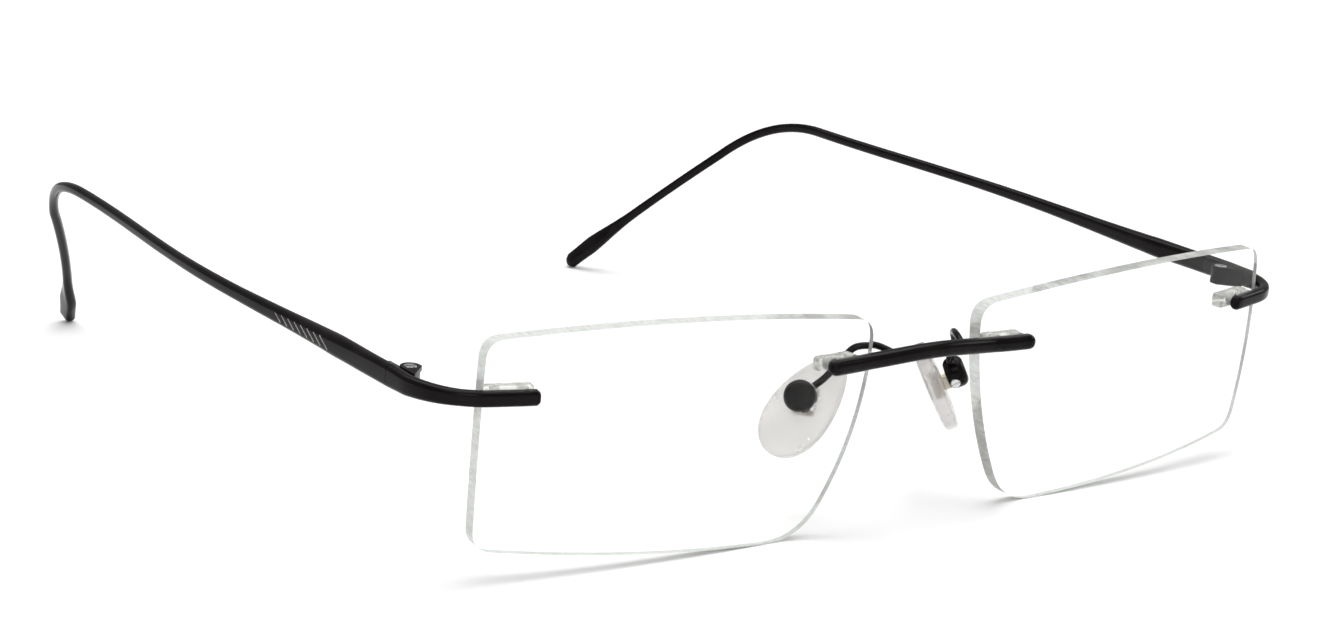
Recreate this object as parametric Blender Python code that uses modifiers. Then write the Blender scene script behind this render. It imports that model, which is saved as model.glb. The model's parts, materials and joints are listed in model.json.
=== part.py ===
"""Rimless eyeglasses: two lenses, a bridge, two endpieces and two folding temples.

Sizes are in millimetres and become metres when a piece is placed. Pieces are shaped in the
front frame: X runs to the wearer's left, Y runs back to the ears and Z runs up, with the
lenses upright. The "stand" empty then leans that frame forward until the lens bottoms and
the temple tips rest on the ground, Z = 0.
"""

import math

import bmesh
import bpy
from mathutils import Matrix, Vector

MM = 0.001
X_AXIS, Y_AXIS, Z_AXIS = Vector((1, 0, 0)), Vector((0, 1, 0)), Vector((0, 0, 1))

# Lens, in the box system that opticians use
LENS_WIDTH = 52.0
LENS_GAP = 17.0
LENS_THICKNESS = 1.8
LENS_FRONT_RADIUS = 136.0
LENS_BLANK_RADIUS = 34.0
LENS_WRAP = math.radians(4.85)
LENS_CENTRE_X = (LENS_GAP + LENS_WIDTH) / 2
# Outline corners from the nasal top round to the nasal bottom: (out to the temple, up)
LENS_CORNERS = [(-26.0, 12.1), (25.6, 13.5), (25.4, -11.6), (-18.0, -14.9)]
LENS_SIDE_BOWS = [1.8, 0.4, 0.4, 2.2]
LENS_CORNER_TRIMS = [2.6, 2.2, 2.4, 5.0]

# Bars that hold the lenses, and the gap between pieces that touch
FIT_GAP = 0.06
PLUG_GAP = 0.16
BRIDGE_RADIUS = 0.95
BRIDGE_HALF_LENGTH = 15.9
BRIDGE_END_Z = 7.4
BRIDGE_RISE = 0.6
BRIDGE_FORWARD = 0.5
BRIDGE_ARCH_HALF = 12.0
BAR_TIP = Vector((53.9, 0, 7.2))
BAR_THICKNESS = 1.4
BAR_TIP_HEIGHT = 1.9
BAR_LENS_END_X = 59.2
CORNER_REACH = 0.9

# Pins through each lens, and the clear sleeve plugs that grip them
PIN_RADIUS = 0.45
BORE_RADIUS = 0.51
SLEEVE_RADIUS = 0.72
LENS_HOLE_RADIUS = 0.82
PIN_PITCH = 3.4
PLUG_DROP = 0.25
NASAL_FIXING = (12.9, BRIDGE_END_Z)
NASAL_PLUG = Vector((5.6, 1.4, 1.7))
TEMPORAL_FIXING = (56.7, 7.2)
TEMPORAL_PLUG = Vector((6.2, 1.7, 1.9))

# Hinge, in its own frame: X out, Y along the temple, Z along the hinge pin
HINGE_SLOPE = math.radians(-3.2)
HINGE_AXIS = Vector((63.2, 15.4, 6.4))
SEAM_BACK = 0.6
TEMPLE_OFFSET = 2.1
TEMPLE_THICKNESS = 1.5
JOINT_HEIGHT = 2.7
SEAM_GAP = 0.08
KNUCKLE_RADIUS = 1.2
KNUCKLE_HALF = 0.55
SLOT_HALF = 0.61
HINGE_HALF_HEIGHT = 1.2
HINGE_BLOCK_LENGTH = 2.9
SEAM_STRAIGHT = 3.8
HINGE_CHAMFER_START = 0.6
LEAF_LENGTH = 2.5
LEAF_HALF_HEIGHT = 0.85
SCREW_RADIUS = 0.48
SCREW_HEAD_RADIUS = 0.82
SCREW_HEAD_DEPTH = 0.42

# Temple: distance from the hinge, height and thickness at each station
TEMPLE_BEND = Vector((62.9, 115.8, 0.8))
TEMPLE_TIP = Vector((45.8, 145.2, -31.8))
TEMPLE_BEND_TRIM = 11.8
TEMPLE_BOW = 1.7
TIP_BOW = 0.8
TEMPLE_STATIONS = [
    (0.0, JOINT_HEIGHT, TEMPLE_THICKNESS),
    (3.6, 2.68, TEMPLE_THICKNESS),
    (13.0, 2.66, 2.05),
    (15.0, 2.5, 2.0),
    (24.0, 2.1, 1.6),
    (36.0, 1.75, 1.4),
    (54.0, 1.5, 1.3),
    (96.0, 1.4, 1.3),
    (124.0, 1.35, 1.3),
    (131.0, 1.45, 1.3),
    (135.0, 1.9, 1.4),
    (140.0, 3.0, 1.6),
    (143.0, 2.7, 1.6),
    (160.0, 2.4, 1.5),
]
PADDLE_LENGTH = 13.0
PADDLE_TWIST = math.radians(-36)
FACET_ENDS = (13.0, 28.6)
FACET_WIDTH = 0.55
SLASH_COUNT = 8
SLASH_FIRST = 14.2
SLASH_PITCH = 1.6
SLASH_ANGLE = math.radians(31)
SLASH_SIZE = Vector((0.3, 2.5, 0.5))

# Nose pad, in its own frame: X along the screw, Y up the pad, Z out from the nose
PAD_CENTRE = Vector((10.6, 9.9, -1.6))
PAD_SPLAY = math.radians(34)
PAD_FLARE = math.radians(28)
PAD_SLANT = math.radians(-24)
PAD_LENGTH = 14.4
PAD_WIDTH = 7.6
PAD_THICKNESS = 2.3
PAD_TAPER = 0.22
CORE_SIZE = Vector((2.8, 3.6, 0.7))
TAB_SIZE = Vector((1.1, 1.7, 2.2))
BOX_RADIUS = 2.0
BOX_FLOOR = 1.7
BOX_DEPTH = 2.6
BOX_UP = 0.6
BOX_SLOT = 1.4
BOX_SLOT_DEPTH = 1.75
PAD_SCREW = Vector((0, -0.15, 2.55))
PAD_SCREW_RADIUS = 0.36
PAD_SCREW_HEAD = 0.6
WIRE_RADIUS = 0.43
WIRE_START_X = 5.2
WIRE_ROUTE = [(6.4, 2.6, 8.1), (8.0, 5.0, 7.4), (9.3, 5.9, 5.4)]
WIRE_ENTRY = math.radians(39)

GROUND_LEAN = math.radians(6.99)
GROUND_HEIGHT = 14.54
GROUND_BACK = -72.76
CORNER_SEGMENTS = 2
ROUND_STEPS = 14


# ---------------------------------------------------------------- scene and materials

def clear_scene():
    for old in list(bpy.data.objects):
        bpy.data.objects.remove(old, do_unlink=True)


def make_collection(name):
    collection = bpy.data.collections.new(name)
    bpy.context.scene.collection.children.link(collection)
    return collection


def make_material(name, colour, roughness, metallic=0.0, transmission=0.0):
    material = bpy.data.materials.new(name)
    material.use_nodes = True
    shader = material.node_tree.nodes["Principled BSDF"]
    shader.inputs["Base Color"].default_value = (*colour, 1.0)
    shader.inputs["Roughness"].default_value = roughness
    shader.inputs["Metallic"].default_value = metallic
    shader.inputs["Transmission Weight"].default_value = transmission
    material.diffuse_color = (*colour, 1.0)
    return material


# ---------------------------------------------------------------- modelling helpers

def shape_object(name, bm, collection):
    bmesh.ops.recalc_face_normals(bm, faces=bm.faces)
    mesh = bpy.data.meshes.new(name)
    bm.to_mesh(mesh)
    bm.free()
    shape = bpy.data.objects.new(name, mesh)
    collection.objects.link(shape)
    return shape


def bake_modifiers(shape):
    """Swap the mesh for the one that the modifiers give, and drop the modifiers."""
    bpy.context.view_layer.update()
    evaluated = shape.evaluated_get(bpy.context.evaluated_depsgraph_get())
    mesh = bpy.data.meshes.new_from_object(evaluated)
    shape.modifiers.clear()
    shape.data = mesh
    return shape


def combine(shape, tool, operation):
    """Boolean of shape with tool, which then stays as a hidden guide."""
    boolean = shape.modifiers.new("Boolean", "BOOLEAN")
    boolean.operation = operation
    boolean.solver = "EXACT"
    boolean.object = tool
    bake_modifiers(shape)
    tool.hide_render = True
    tool.display_type = "WIRE"
    return shape


def bevel(shape, width, segments=2, angle=30):
    modifier = shape.modifiers.new("Bevel", "BEVEL")
    modifier.width = width
    modifier.segments = segments
    modifier.limit_method = "ANGLE"
    modifier.angle_limit = math.radians(angle)
    return bake_modifiers(shape)


def box(name, low, high, collection, place=Matrix()):
    low, high = Vector(low), Vector(high)
    size = Matrix.Diagonal((high - low).to_4d())
    size[3][3] = 1
    bm = bmesh.new()
    bmesh.ops.create_cube(bm, size=1, matrix=place @ Matrix.Translation((low + high) / 2) @ size)
    return shape_object(name, bm, collection)


def rod(name, start, end, radius, collection, place=Matrix(), steps=ROUND_STEPS):
    start, end = Vector(start), Vector(end)
    turn = (end - start).to_track_quat("Z", "Y").to_matrix().to_4x4()
    bm = bmesh.new()
    bmesh.ops.create_cone(
        bm, cap_ends=True, segments=steps, radius1=radius, radius2=radius,
        depth=(end - start).length, matrix=place @ Matrix.Translation((start + end) / 2) @ turn,
    )
    return shape_object(name, bm, collection)


def turned(name, profile, steps, collection, place=Matrix()):
    """A profile of (radius, height) points, top to bottom, turned about Z."""
    mesh = bpy.data.meshes.new(name)
    points = [(radius, 0, height) for radius, height in profile]
    mesh.from_pydata(points, [(i, i + 1) for i in range(len(points) - 1)], [])
    shape = bpy.data.objects.new(name, mesh)
    collection.objects.link(shape)
    screw = shape.modifiers.new("Screw", "SCREW")
    screw.steps = steps
    screw.render_steps = steps
    screw.use_merge_vertices = True
    screw.merge_threshold = 0.0001
    bake_modifiers(shape)
    bm = bmesh.new()
    bm.from_mesh(shape.data)
    bmesh.ops.remove_doubles(bm, verts=bm.verts, dist=0.0001)
    bmesh.ops.recalc_face_normals(bm, faces=bm.faces)
    bm.transform(place)
    bm.to_mesh(shape.data)
    bm.free()
    return shape


def tube(name, points, radius, collection):
    """A round wire through the points, made from a bevelled curve."""
    curve = bpy.data.curves.new(name, "CURVE")
    curve.dimensions = "3D"
    curve.bevel_depth = radius
    curve.bevel_resolution = 2
    curve.use_fill_caps = True
    spline = curve.splines.new("POLY")
    spline.points.add(len(points) - 1)
    for spot, point in zip(spline.points, points):
        spot.co = (*point, 1)
    wire = bpy.data.objects.new(name + "_curve", curve)
    collection.objects.link(wire)
    bpy.context.view_layer.update()
    evaluated = wire.evaluated_get(bpy.context.evaluated_depsgraph_get())
    bm = bmesh.new()
    bm.from_mesh(bpy.data.meshes.new_from_object(evaluated))
    bmesh.ops.remove_doubles(bm, verts=bm.verts, dist=0.0001)
    bpy.data.objects.remove(wire, do_unlink=True)
    return shape_object(name, bm, collection)


def smooth_route(points, steps):
    """Points on a smooth curve that passes through all the given ones."""
    points = [Vector(p) for p in points]
    ends = [2 * points[0] - points[1]] + points + [2 * points[-1] - points[-2]]
    route = []
    for a, b, c, d in zip(ends, ends[1:], ends[2:], ends[3:]):
        for i in range(steps):
            t = i / steps
            route.append(0.5 * (2 * b + (c - a) * t + (2 * a - 5 * b + 4 * c - d) * t ** 2
                                + (3 * b - a - 3 * c + d) * t ** 3))
    return route + [points[-1]]


def bezier(start, control, end, steps):
    start, control, end = Vector(start), Vector(control), Vector(end)
    spots = [i / steps for i in range(steps + 1)]
    return [(1 - t) ** 2 * start + 2 * t * (1 - t) * control + t * t * end for t in spots]


def rounded_section(thickness, height):
    """Points round a rectangle with flat sides and rounded corners."""
    radius = 0.42 * min(thickness, height)
    section = []
    for quarter in range(4):
        corner = Vector((1 if quarter in (0, 3) else -1, 1 if quarter < 2 else -1))
        middle = Vector((corner.x * (thickness / 2 - radius), corner.y * (height / 2 - radius)))
        for i in range(CORNER_SEGMENTS + 1):
            angle = math.pi / 2 * (quarter + i / CORNER_SEGMENTS)
            section.append(middle + radius * Vector((math.cos(angle), math.sin(angle))))
    return section


def sweep(name, route, sections, collection):
    """A bar along the route: a loft between sections whose shape changes on the way."""
    bm = bmesh.new()
    rings = []
    for i, point in enumerate(route):
        along = (route[min(i + 1, len(route) - 1)] - route[max(i - 1, 0)]).normalized()
        across = along.cross(Z_AXIS).normalized()
        up = across.cross(along)
        rings.append([bm.verts.new(point + across * p.x + up * p.y) for p in sections[i]])
    for ring, following in zip(rings, rings[1:]):
        for i in range(len(ring)):
            k = (i + 1) % len(ring)
            bm.faces.new((ring[i], ring[k], following[k], following[i]))
    bm.faces.new(rings[0])
    bm.faces.new(rings[-1])
    return shape_object(name, bm, collection)


def distances(route):
    total = [0.0]
    for a, b in zip(route, route[1:]):
        total.append(total[-1] + (b - a).length)
    return total


def between(stations, distance):
    """Sizes at a distance, blended between the stations on each side of it."""
    for a, b in zip(stations, stations[1:]):
        if distance <= b[0]:
            t = (distance - a[0]) / (b[0] - a[0])
            return [p + (q - p) * t for p, q in zip(a[1:], b[1:])]
    return list(stations[-1][1:])


# ---------------------------------------------------------------- frames of reference

def lens_place():
    return Matrix.Translation((LENS_CENTRE_X, 0, 0)) @ Matrix.Rotation(LENS_WRAP, 4, "Z")


def lens_front(x, z):
    """The point of the lens's front surface at x and z, and the way back through the lens."""
    place = lens_place()
    u = (x - LENS_CENTRE_X) / math.cos(LENS_WRAP)
    for _ in range(4):
        depth = LENS_FRONT_RADIUS - math.sqrt(LENS_FRONT_RADIUS ** 2 - u * u - z * z)
        u += (x - (place @ Vector((u, depth, z))).x) / math.cos(LENS_WRAP)
    inward = Vector((-u, LENS_FRONT_RADIUS - depth, -z)).normalized()
    return place @ Vector((u, depth, z)), place.to_3x3() @ inward


def fixing_place(x, z):
    """Frame of a lens fixing: Y goes back through the lens, X runs along the bar."""
    point, back = lens_front(x, z)
    along = (X_AXIS - back * back.x).normalized()
    turn = Matrix((along, back, along.cross(back))).transposed()
    return Matrix.Translation(point) @ turn.to_4x4()


def hinge_place():
    return Matrix.Translation(HINGE_AXIS) @ Matrix.Rotation(HINGE_SLOPE, 4, "X")


def mirror_place(place):
    flip = Matrix.Scale(-1, 4, X_AXIS)
    return flip @ place @ flip


def pad_place():
    splay = Vector((math.sin(PAD_SPLAY), math.cos(PAD_SPLAY), 0))
    out = Vector((math.cos(PAD_SPLAY), -math.sin(PAD_SPLAY), 0)) * math.cos(PAD_FLARE)
    out.z = math.sin(PAD_FLARE)
    turn = Matrix((splay, out.cross(splay), out)).transposed()
    return Matrix.Translation(PAD_CENTRE) @ turn.to_4x4()


# ---------------------------------------------------------------- the pieces

def lens_outline():
    """Points of the lens edge: four bowed sides joined by rounded corners."""
    corners = [Vector(c) for c in LENS_CORNERS]
    sides = []
    for i, bow in enumerate(LENS_SIDE_BOWS):
        a, b = corners[i], corners[(i + 1) % 4]
        outward = Vector((-(b - a).y, (b - a).x)).normalized()
        first = LENS_CORNER_TRIMS[i] / (b - a).length
        last = 1 - LENS_CORNER_TRIMS[(i + 1) % 4] / (b - a).length
        spots = [first + (last - first) * k / 8 for k in range(9)]
        sides.append([a.lerp(b, t) + outward * bow * 4 * t * (1 - t) for t in spots])
    outline = []
    for i, side in enumerate(sides):
        following = sides[(i + 1) % 4]
        rise = side[-1] - side[-2]
        drop = following[0] - following[1]
        gap = following[0] - side[-1]
        reach = (gap.x * drop.y - gap.y * drop.x) / (rise.x * drop.y - rise.y * drop.x)
        corner = bezier(side[-1], side[-1] + rise * reach, following[0], 4)
        outline += side + corner[1:-1]
    return outline


def make_lens(cutters):
    """A meniscus blank, edged to the outline and drilled for the four pins."""
    back_radius = LENS_FRONT_RADIUS - 1.2
    rings = [LENS_BLANK_RADIUS * i / 4 for i in range(5)]
    front = [(r, LENS_FRONT_RADIUS - math.sqrt(LENS_FRONT_RADIUS ** 2 - r * r)) for r in rings]
    back = [(r, LENS_THICKNESS + back_radius - math.sqrt(back_radius ** 2 - r * r)) for r in rings]
    place = lens_place() @ Matrix.Rotation(math.radians(-90), 4, "X")
    lens = turned("lens_form", back + front[::-1], 32, cutters, place)
    bm = bmesh.new()
    low = [bm.verts.new((p.x, -20, p.y)) for p in lens_outline()]
    high = [bm.verts.new((p.x, 20, p.y)) for p in lens_outline()]
    bm.faces.new(low)
    bm.faces.new(high)
    for i in range(len(low)):
        k = (i + 1) % len(low)
        bm.faces.new((low[i], low[k], high[k], high[i]))
    bm.transform(lens_place())
    combine(lens, shape_object("lens_edge_cutter", bm, cutters), "INTERSECT")
    for fixing in (NASAL_FIXING, TEMPORAL_FIXING):
        for side in (-1, 1):
            x = side * PIN_PITCH / 2
            hole = rod("lens_hole_cutter", (x, -4, 0), (x, 8, 0), LENS_HOLE_RADIUS, cutters,
                       fixing_place(*fixing))
            combine(lens, hole, "DIFFERENCE")
    return lens


def add_pins(bar, place, depth, cutters):
    """Two pins brazed to the back of a bar, which reach through the lens and its plug."""
    reach = LENS_THICKNESS + PLUG_GAP + depth + 2 * FIT_GAP
    for side in (-1, 1):
        x = side * PIN_PITCH / 2
        pin = rod("pin_guide", (x, -BRIDGE_RADIUS, 0), (x, reach, 0), PIN_RADIUS, cutters, place)
        combine(bar, pin, "UNION")


def make_lens_plug(fixing, size, cutters):
    """A clear block behind the lens with two sleeves through it, bored for the pins."""
    place = fixing_place(*fixing)
    floor = LENS_THICKNESS + PLUG_GAP
    half = size / 2
    plug = box("plug_form", (-half.x, floor, -half.z - PLUG_DROP),
               (half.x, floor + size.y, half.z - PLUG_DROP), cutters, place)
    bevel(plug, 0.4)
    for side in (-1, 1):
        x = side * PIN_PITCH / 2
        sleeve = rod("sleeve_guide", (x, FIT_GAP, 0), (x, floor + 0.9, 0), SLEEVE_RADIUS, cutters, place)
        combine(plug, sleeve, "UNION")
    for side in (-1, 1):
        x = side * PIN_PITCH / 2
        bore = rod("bore_cutter", (x, -2, 0), (x, 9, 0), BORE_RADIUS, cutters, place)
        combine(plug, bore, "DIFFERENCE")
    return plug


def bridge_point(x):
    """Centre of the bridge bar: on the lens at its ends, arched up and forward between."""
    edge = max(abs(x), LENS_GAP / 2 + 1)
    point, back = lens_front(edge, BRIDGE_END_Z)
    point = point - back * (BRIDGE_RADIUS + FIT_GAP)
    arch = math.cos(min(abs(x) / BRIDGE_ARCH_HALF, 1) * math.pi / 2) ** 2
    return Vector((x, point.y - BRIDGE_FORWARD * arch, point.z + BRIDGE_RISE * arch))


def make_bridge(cutters):
    steps = 24
    route, sections = [], []
    for i in range(steps + 1):
        x = BRIDGE_HALF_LENGTH * -math.cos(math.pi * i / steps)
        from_end = BRIDGE_HALF_LENGTH - abs(x)
        round_off = min(from_end / BRIDGE_RADIUS, 1)
        width = 2 * BRIDGE_RADIUS * math.sqrt(max(1 - (1 - round_off) ** 2, 0.03))
        route.append(bridge_point(x))
        sections.append(rounded_section(width, width))
    bridge = sweep("bridge_form", route, sections, cutters)
    place = fixing_place(*NASAL_FIXING)
    add_pins(bridge, place, NASAL_PLUG.y, cutters)
    add_pins(bridge, mirror_place(place), NASAL_PLUG.y, cutters)
    return bridge


def endpiece_route():
    """Along the lens front, round the corner and back to the hinge seam."""
    half = BAR_THICKNESS / 2
    on_lens = []
    for i in range(5):
        x = BAR_TIP.x + (BAR_LENS_END_X - BAR_TIP.x) * i / 4
        point, back = lens_front(x, BAR_TIP.z)
        on_lens.append(point - back * (half + FIT_GAP))
    frame = hinge_place()
    straight = frame @ Vector((TEMPLE_OFFSET, SEAM_BACK - SEAM_STRAIGHT, 0))
    along = (on_lens[-1] - on_lens[-2]).normalized()
    control = on_lens[-1] + along * (straight.x - on_lens[-1].x) * CORNER_REACH
    corner = bezier(on_lens[-1], control, straight, 10)
    last = [frame @ Vector((TEMPLE_OFFSET, SEAM_BACK + y, 0)) for y in (-2.5, -1.2, 0.0)]
    return on_lens + corner[1:] + last


def make_endpiece(cutters):
    route = endpiece_route()
    tip = [0.0, 0.1, 0.3]
    lead = [route[0].lerp(route[1], d / (route[1] - route[0]).length) for d in tip]
    route = lead + route[1:]
    run = distances(route)
    sections = []
    for distance in run:
        share = distance / run[-1]
        height = BAR_TIP_HEIGHT + (JOINT_HEIGHT - BAR_TIP_HEIGHT) * max(share - 0.45, 0) / 0.55
        rounding = max(0.3 - distance, 0)
        thickness = BAR_THICKNESS + (TEMPLE_THICKNESS - BAR_THICKNESS) * share
        sections.append(rounded_section(thickness - rounding * 0.5, height - rounding * 1.6))
    endpiece = sweep("endpiece_form", route, sections, cutters)
    add_pins(endpiece, fixing_place(*TEMPORAL_FIXING), TEMPORAL_PLUG.y, cutters)
    return endpiece


def make_hinge_block(cutters):
    """The front half of the hinge: a chamfered block with two knuckles round the screw."""
    place = hinge_place()
    outer = TEMPLE_OFFSET - TEMPLE_THICKNESS / 2 - FIT_GAP
    block = box("hinge_block_form", (-KNUCKLE_RADIUS, -HINGE_BLOCK_LENGTH, -HINGE_HALF_HEIGHT),
                (outer, 0, HINGE_HALF_HEIGHT), cutters, place)
    corner = Matrix.Translation((-KNUCKLE_RADIUS, -HINGE_CHAMFER_START, 0))
    slope = place @ corner @ Matrix.Rotation(math.radians(-45), 4, "Z")
    chamfer = box("hinge_chamfer_cutter", (-5, -5, -3), (6, 0, 3), cutters, slope)
    combine(block, chamfer, "DIFFERENCE")
    bevel(block, 0.2)
    knuckle = rod("knuckle_guide", (0, 0, 0.03 - HINGE_HALF_HEIGHT), (0, 0, HINGE_HALF_HEIGHT - 0.03),
                  KNUCKLE_RADIUS - 0.01, cutters, place, 20)
    combine(block, knuckle, "UNION")
    room = rod("knuckle_room_cutter", (0, 0, -SLOT_HALF), (0, 0, SLOT_HALF),
               KNUCKLE_RADIUS + 0.2, cutters, place, 20)
    combine(block, room, "DIFFERENCE")
    return drill_hinge(block, cutters, True)


def drill_hinge(shape, cutters, for_head):
    place = hinge_place()
    hole = rod("screw_hole_cutter", (0, 0, -3), (0, 0, 3), SCREW_RADIUS + FIT_GAP, cutters, place)
    combine(shape, hole, "DIFFERENCE")
    if for_head:
        seat = HINGE_HALF_HEIGHT - SCREW_HEAD_DEPTH - FIT_GAP
        sink = rod("screw_head_cutter", (0, 0, seat), (0, 0, 3), SCREW_HEAD_RADIUS + FIT_GAP,
                   cutters, place)
        combine(shape, sink, "DIFFERENCE")
    return shape


def make_hinge_leaf(cutters):
    """The temple's half of the hinge: one knuckle on a leaf brazed inside the temple."""
    place = hinge_place()
    outer = TEMPLE_OFFSET - TEMPLE_THICKNESS / 2 - FIT_GAP
    front = SEAM_BACK + 0.5
    leaf = box("hinge_leaf_form", (outer - 0.75, front, -LEAF_HALF_HEIGHT),
               (outer, front + LEAF_LENGTH, LEAF_HALF_HEIGHT), cutters, place)
    bevel(leaf, 0.2)
    web = box("web_guide", (0, 0, 0.03 - KNUCKLE_HALF), (outer - 0.1, front + 0.7, KNUCKLE_HALF - 0.03),
              cutters, place)
    combine(leaf, web, "UNION")
    knuckle = rod("leaf_knuckle_guide", (0, 0, -KNUCKLE_HALF), (0, 0, KNUCKLE_HALF),
                  KNUCKLE_RADIUS - FIT_GAP, cutters, place, 20)
    combine(leaf, knuckle, "UNION")
    return drill_hinge(leaf, cutters, False)


def screw_profile(radius, head_radius, head_depth, top, bottom):
    """Profile of a flat-headed screw with a small lead at its end."""
    return [(0, top), (head_radius - 0.08, top), (head_radius, top - 0.08),
            (head_radius, top - head_depth), (radius, top - head_depth),
            (radius, bottom + 0.12), (radius - 0.12, bottom), (0, bottom)]


def make_screw(name, profile, slot_depth, cutters, place):
    screw = turned(name, profile, ROUND_STEPS, cutters, place)
    top, width = profile[0][1], profile[2][0]
    slot = box("driver_slot_cutter", (-width - 1, -0.11, top - slot_depth), (width + 1, 0.11, top + 1),
               cutters, place)
    return combine(screw, slot, "DIFFERENCE")


def make_hinge_screw(cutters):
    profile = screw_profile(SCREW_RADIUS, SCREW_HEAD_RADIUS, SCREW_HEAD_DEPTH,
                            HINGE_HALF_HEIGHT - 0.02, -HINGE_HALF_HEIGHT + 0.05)
    return make_screw("hinge_screw_form", profile, 0.2, cutters, hinge_place())


def temple_route():
    """Straight back with a slight outward bow, round the ear bend and down to the tip."""
    frame = hinge_place()
    shoulder = [frame @ Vector((TEMPLE_OFFSET, SEAM_BACK + y, 0)) for y in (SEAM_GAP, 3.0, 6.0)]
    start = shoulder[-1]
    bend_start = TEMPLE_BEND + (start - TEMPLE_BEND).normalized() * TEMPLE_BEND_TRIM
    bend_end = TEMPLE_BEND + (TEMPLE_TIP - TEMPLE_BEND).normalized() * TEMPLE_BEND_TRIM
    run = []
    for i in range(1, 16):
        t = i / 16
        run.append(start.lerp(bend_start, t) + X_AXIS * TEMPLE_BOW * math.sin(math.pi * t) ** 2)
    hook = []
    for i in range(1, 10):
        t = i / 9
        hook.append(bend_end.lerp(TEMPLE_TIP, t) - X_AXIS * TIP_BOW * 4 * t * (1 - t))
    return shoulder + run + bezier(bend_start, TEMPLE_BEND, bend_end, 8) + hook


def make_temple(cutters):
    route = temple_route()
    end = route[-1]
    back = (route[-2] - end).normalized()
    route = route[:-1] + [end + back * d for d in (0.7, 0.25, 0.0)]
    run = distances(route)
    sections = []
    for distance in run:
        height, thickness = between(TEMPLE_STATIONS, distance)
        rounding = max(0.7 - (run[-1] - distance), 0)
        section = rounded_section(thickness - rounding * 0.5, height - rounding * 1.4)
        share = min(max(1 - (run[-1] - distance) / PADDLE_LENGTH, 0) * 2, 1)
        twist = Matrix.Rotation(PADDLE_TWIST * share, 2)
        sections.append([twist @ point for point in section])
    temple = sweep("temple_form", route, sections, cutters)
    combine(temple, facet_cutter(cutters), "DIFFERENCE")
    for i in range(SLASH_COUNT):
        y = SLASH_FIRST + SLASH_PITCH * i
        height = between(TEMPLE_STATIONS, y)[0]
        combine(temple, slash_cutter(y, height, cutters), "DIFFERENCE")
    return temple


def temple_face(distance, up):
    """A point of the temple's outer face, up as a share of half its height."""
    route = temple_route()
    run = distances(route)
    after = next(i for i, reached in enumerate(run) if reached > distance)
    share = (distance - run[after - 1]) / (run[after] - run[after - 1])
    height, thickness = between(TEMPLE_STATIONS, distance)
    centre = route[after - 1].lerp(route[after], share)
    return centre + X_AXIS * (thickness / 2) + Z_AXIS * (up * height / 2)


def facet_cutter(cutters):
    """Takes off the temple's lower outer edge beside the grooves."""
    low, high = temple_face(FACET_ENDS[0], -1), temple_face(FACET_ENDS[1], -1)
    along = (high - low).normalized()
    out = (X_AXIS - Z_AXIS - along * along.dot(X_AXIS - Z_AXIS)).normalized()
    turn = Matrix((along, out, along.cross(out))).transposed().to_4x4()
    place = Matrix.Translation(low) @ turn
    depth = FACET_WIDTH / 2
    return box("facet_cutter", (0, -depth, -3), ((high - low).length, 3, 3), cutters, place)


def slash_cutter(y, height, cutters):
    """A slanting groove in the temple's outer face; the grooves shorten with the temple."""
    face = temple_face(y, 0)
    size = SLASH_SIZE / 2
    length = size.y * (height - 0.5) / (JOINT_HEIGHT - 0.5)
    place = Matrix.Translation(face) @ Matrix.Rotation(HINGE_SLOPE + SLASH_ANGLE, 4, "X")
    return box("slash_cutter", (-size.x / 2, -length, -size.z / 2), (1, length, size.z / 2),
               cutters, place)


def placed(shape, place):
    shape.data.transform(place)
    return shape


def make_core(cutters, grow, name):
    """The stiff insert inside the pad: a plate with a tab that the screw goes through."""
    half = CORE_SIZE / 2 + Vector((grow, grow, grow))
    plate = box(name, (-half.x, -half.y + BOX_UP, -half.z), (half.x, half.y + BOX_UP, half.z),
                cutters)
    bevel(plate, 0.3)
    tab = TAB_SIZE / 2 + Vector((grow, grow, 0))
    stem = box("tab_guide", (-tab.x, PAD_SCREW.y - tab.y, 0), (tab.x, PAD_SCREW.y + tab.y, PAD_SCREW.z),
               cutters)
    combine(plate, stem, "UNION")
    lug = rod("lug_guide", PAD_SCREW - X_AXIS * tab.x, PAD_SCREW + X_AXIS * tab.x,
              tab.y, cutters, Matrix(), 20)
    return combine(plate, lug, "UNION")


def make_pad_core(cutters):
    core = make_core(cutters, 0, "pad_core_form")
    hole = rod("tab_hole_cutter", PAD_SCREW - X_AXIS * 3, PAD_SCREW + X_AXIS * 3,
               PAD_SCREW_RADIUS + FIT_GAP, cutters)
    return placed(combine(core, hole, "DIFFERENCE"), pad_place())


def make_nose_pad(cutters):
    """A soft teardrop: a ball flattened and tapered towards its top, hollowed for the core."""
    bm = bmesh.new()
    bmesh.ops.create_uvsphere(bm, u_segments=20, v_segments=10, radius=1)
    for vert in bm.verts:
        x, y, z = vert.co.x, vert.co.y, vert.co.z
        around = math.hypot(x, y)
        spread = math.sin(math.pi / 2 * min(around, 1)) if around else 0
        scale = spread / around if around else 0
        taper = 1 - PAD_TAPER * y * scale
        thick = math.copysign(abs(z) ** 0.7, z)
        vert.co = (x * scale * taper * PAD_WIDTH / 2, y * scale * PAD_LENGTH / 2,
                   thick * PAD_THICKNESS / 2)
    bm.transform(Matrix.Rotation(-PAD_SLANT, 4, "Z"))
    pad = shape_object("nose_pad_form", bm, cutters)
    combine(pad, make_core(cutters, FIT_GAP, "core_cutter"), "DIFFERENCE")
    return placed(pad, pad_place())


def box_place():
    return pad_place() @ Matrix.Translation((0, BOX_UP, 0))


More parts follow.
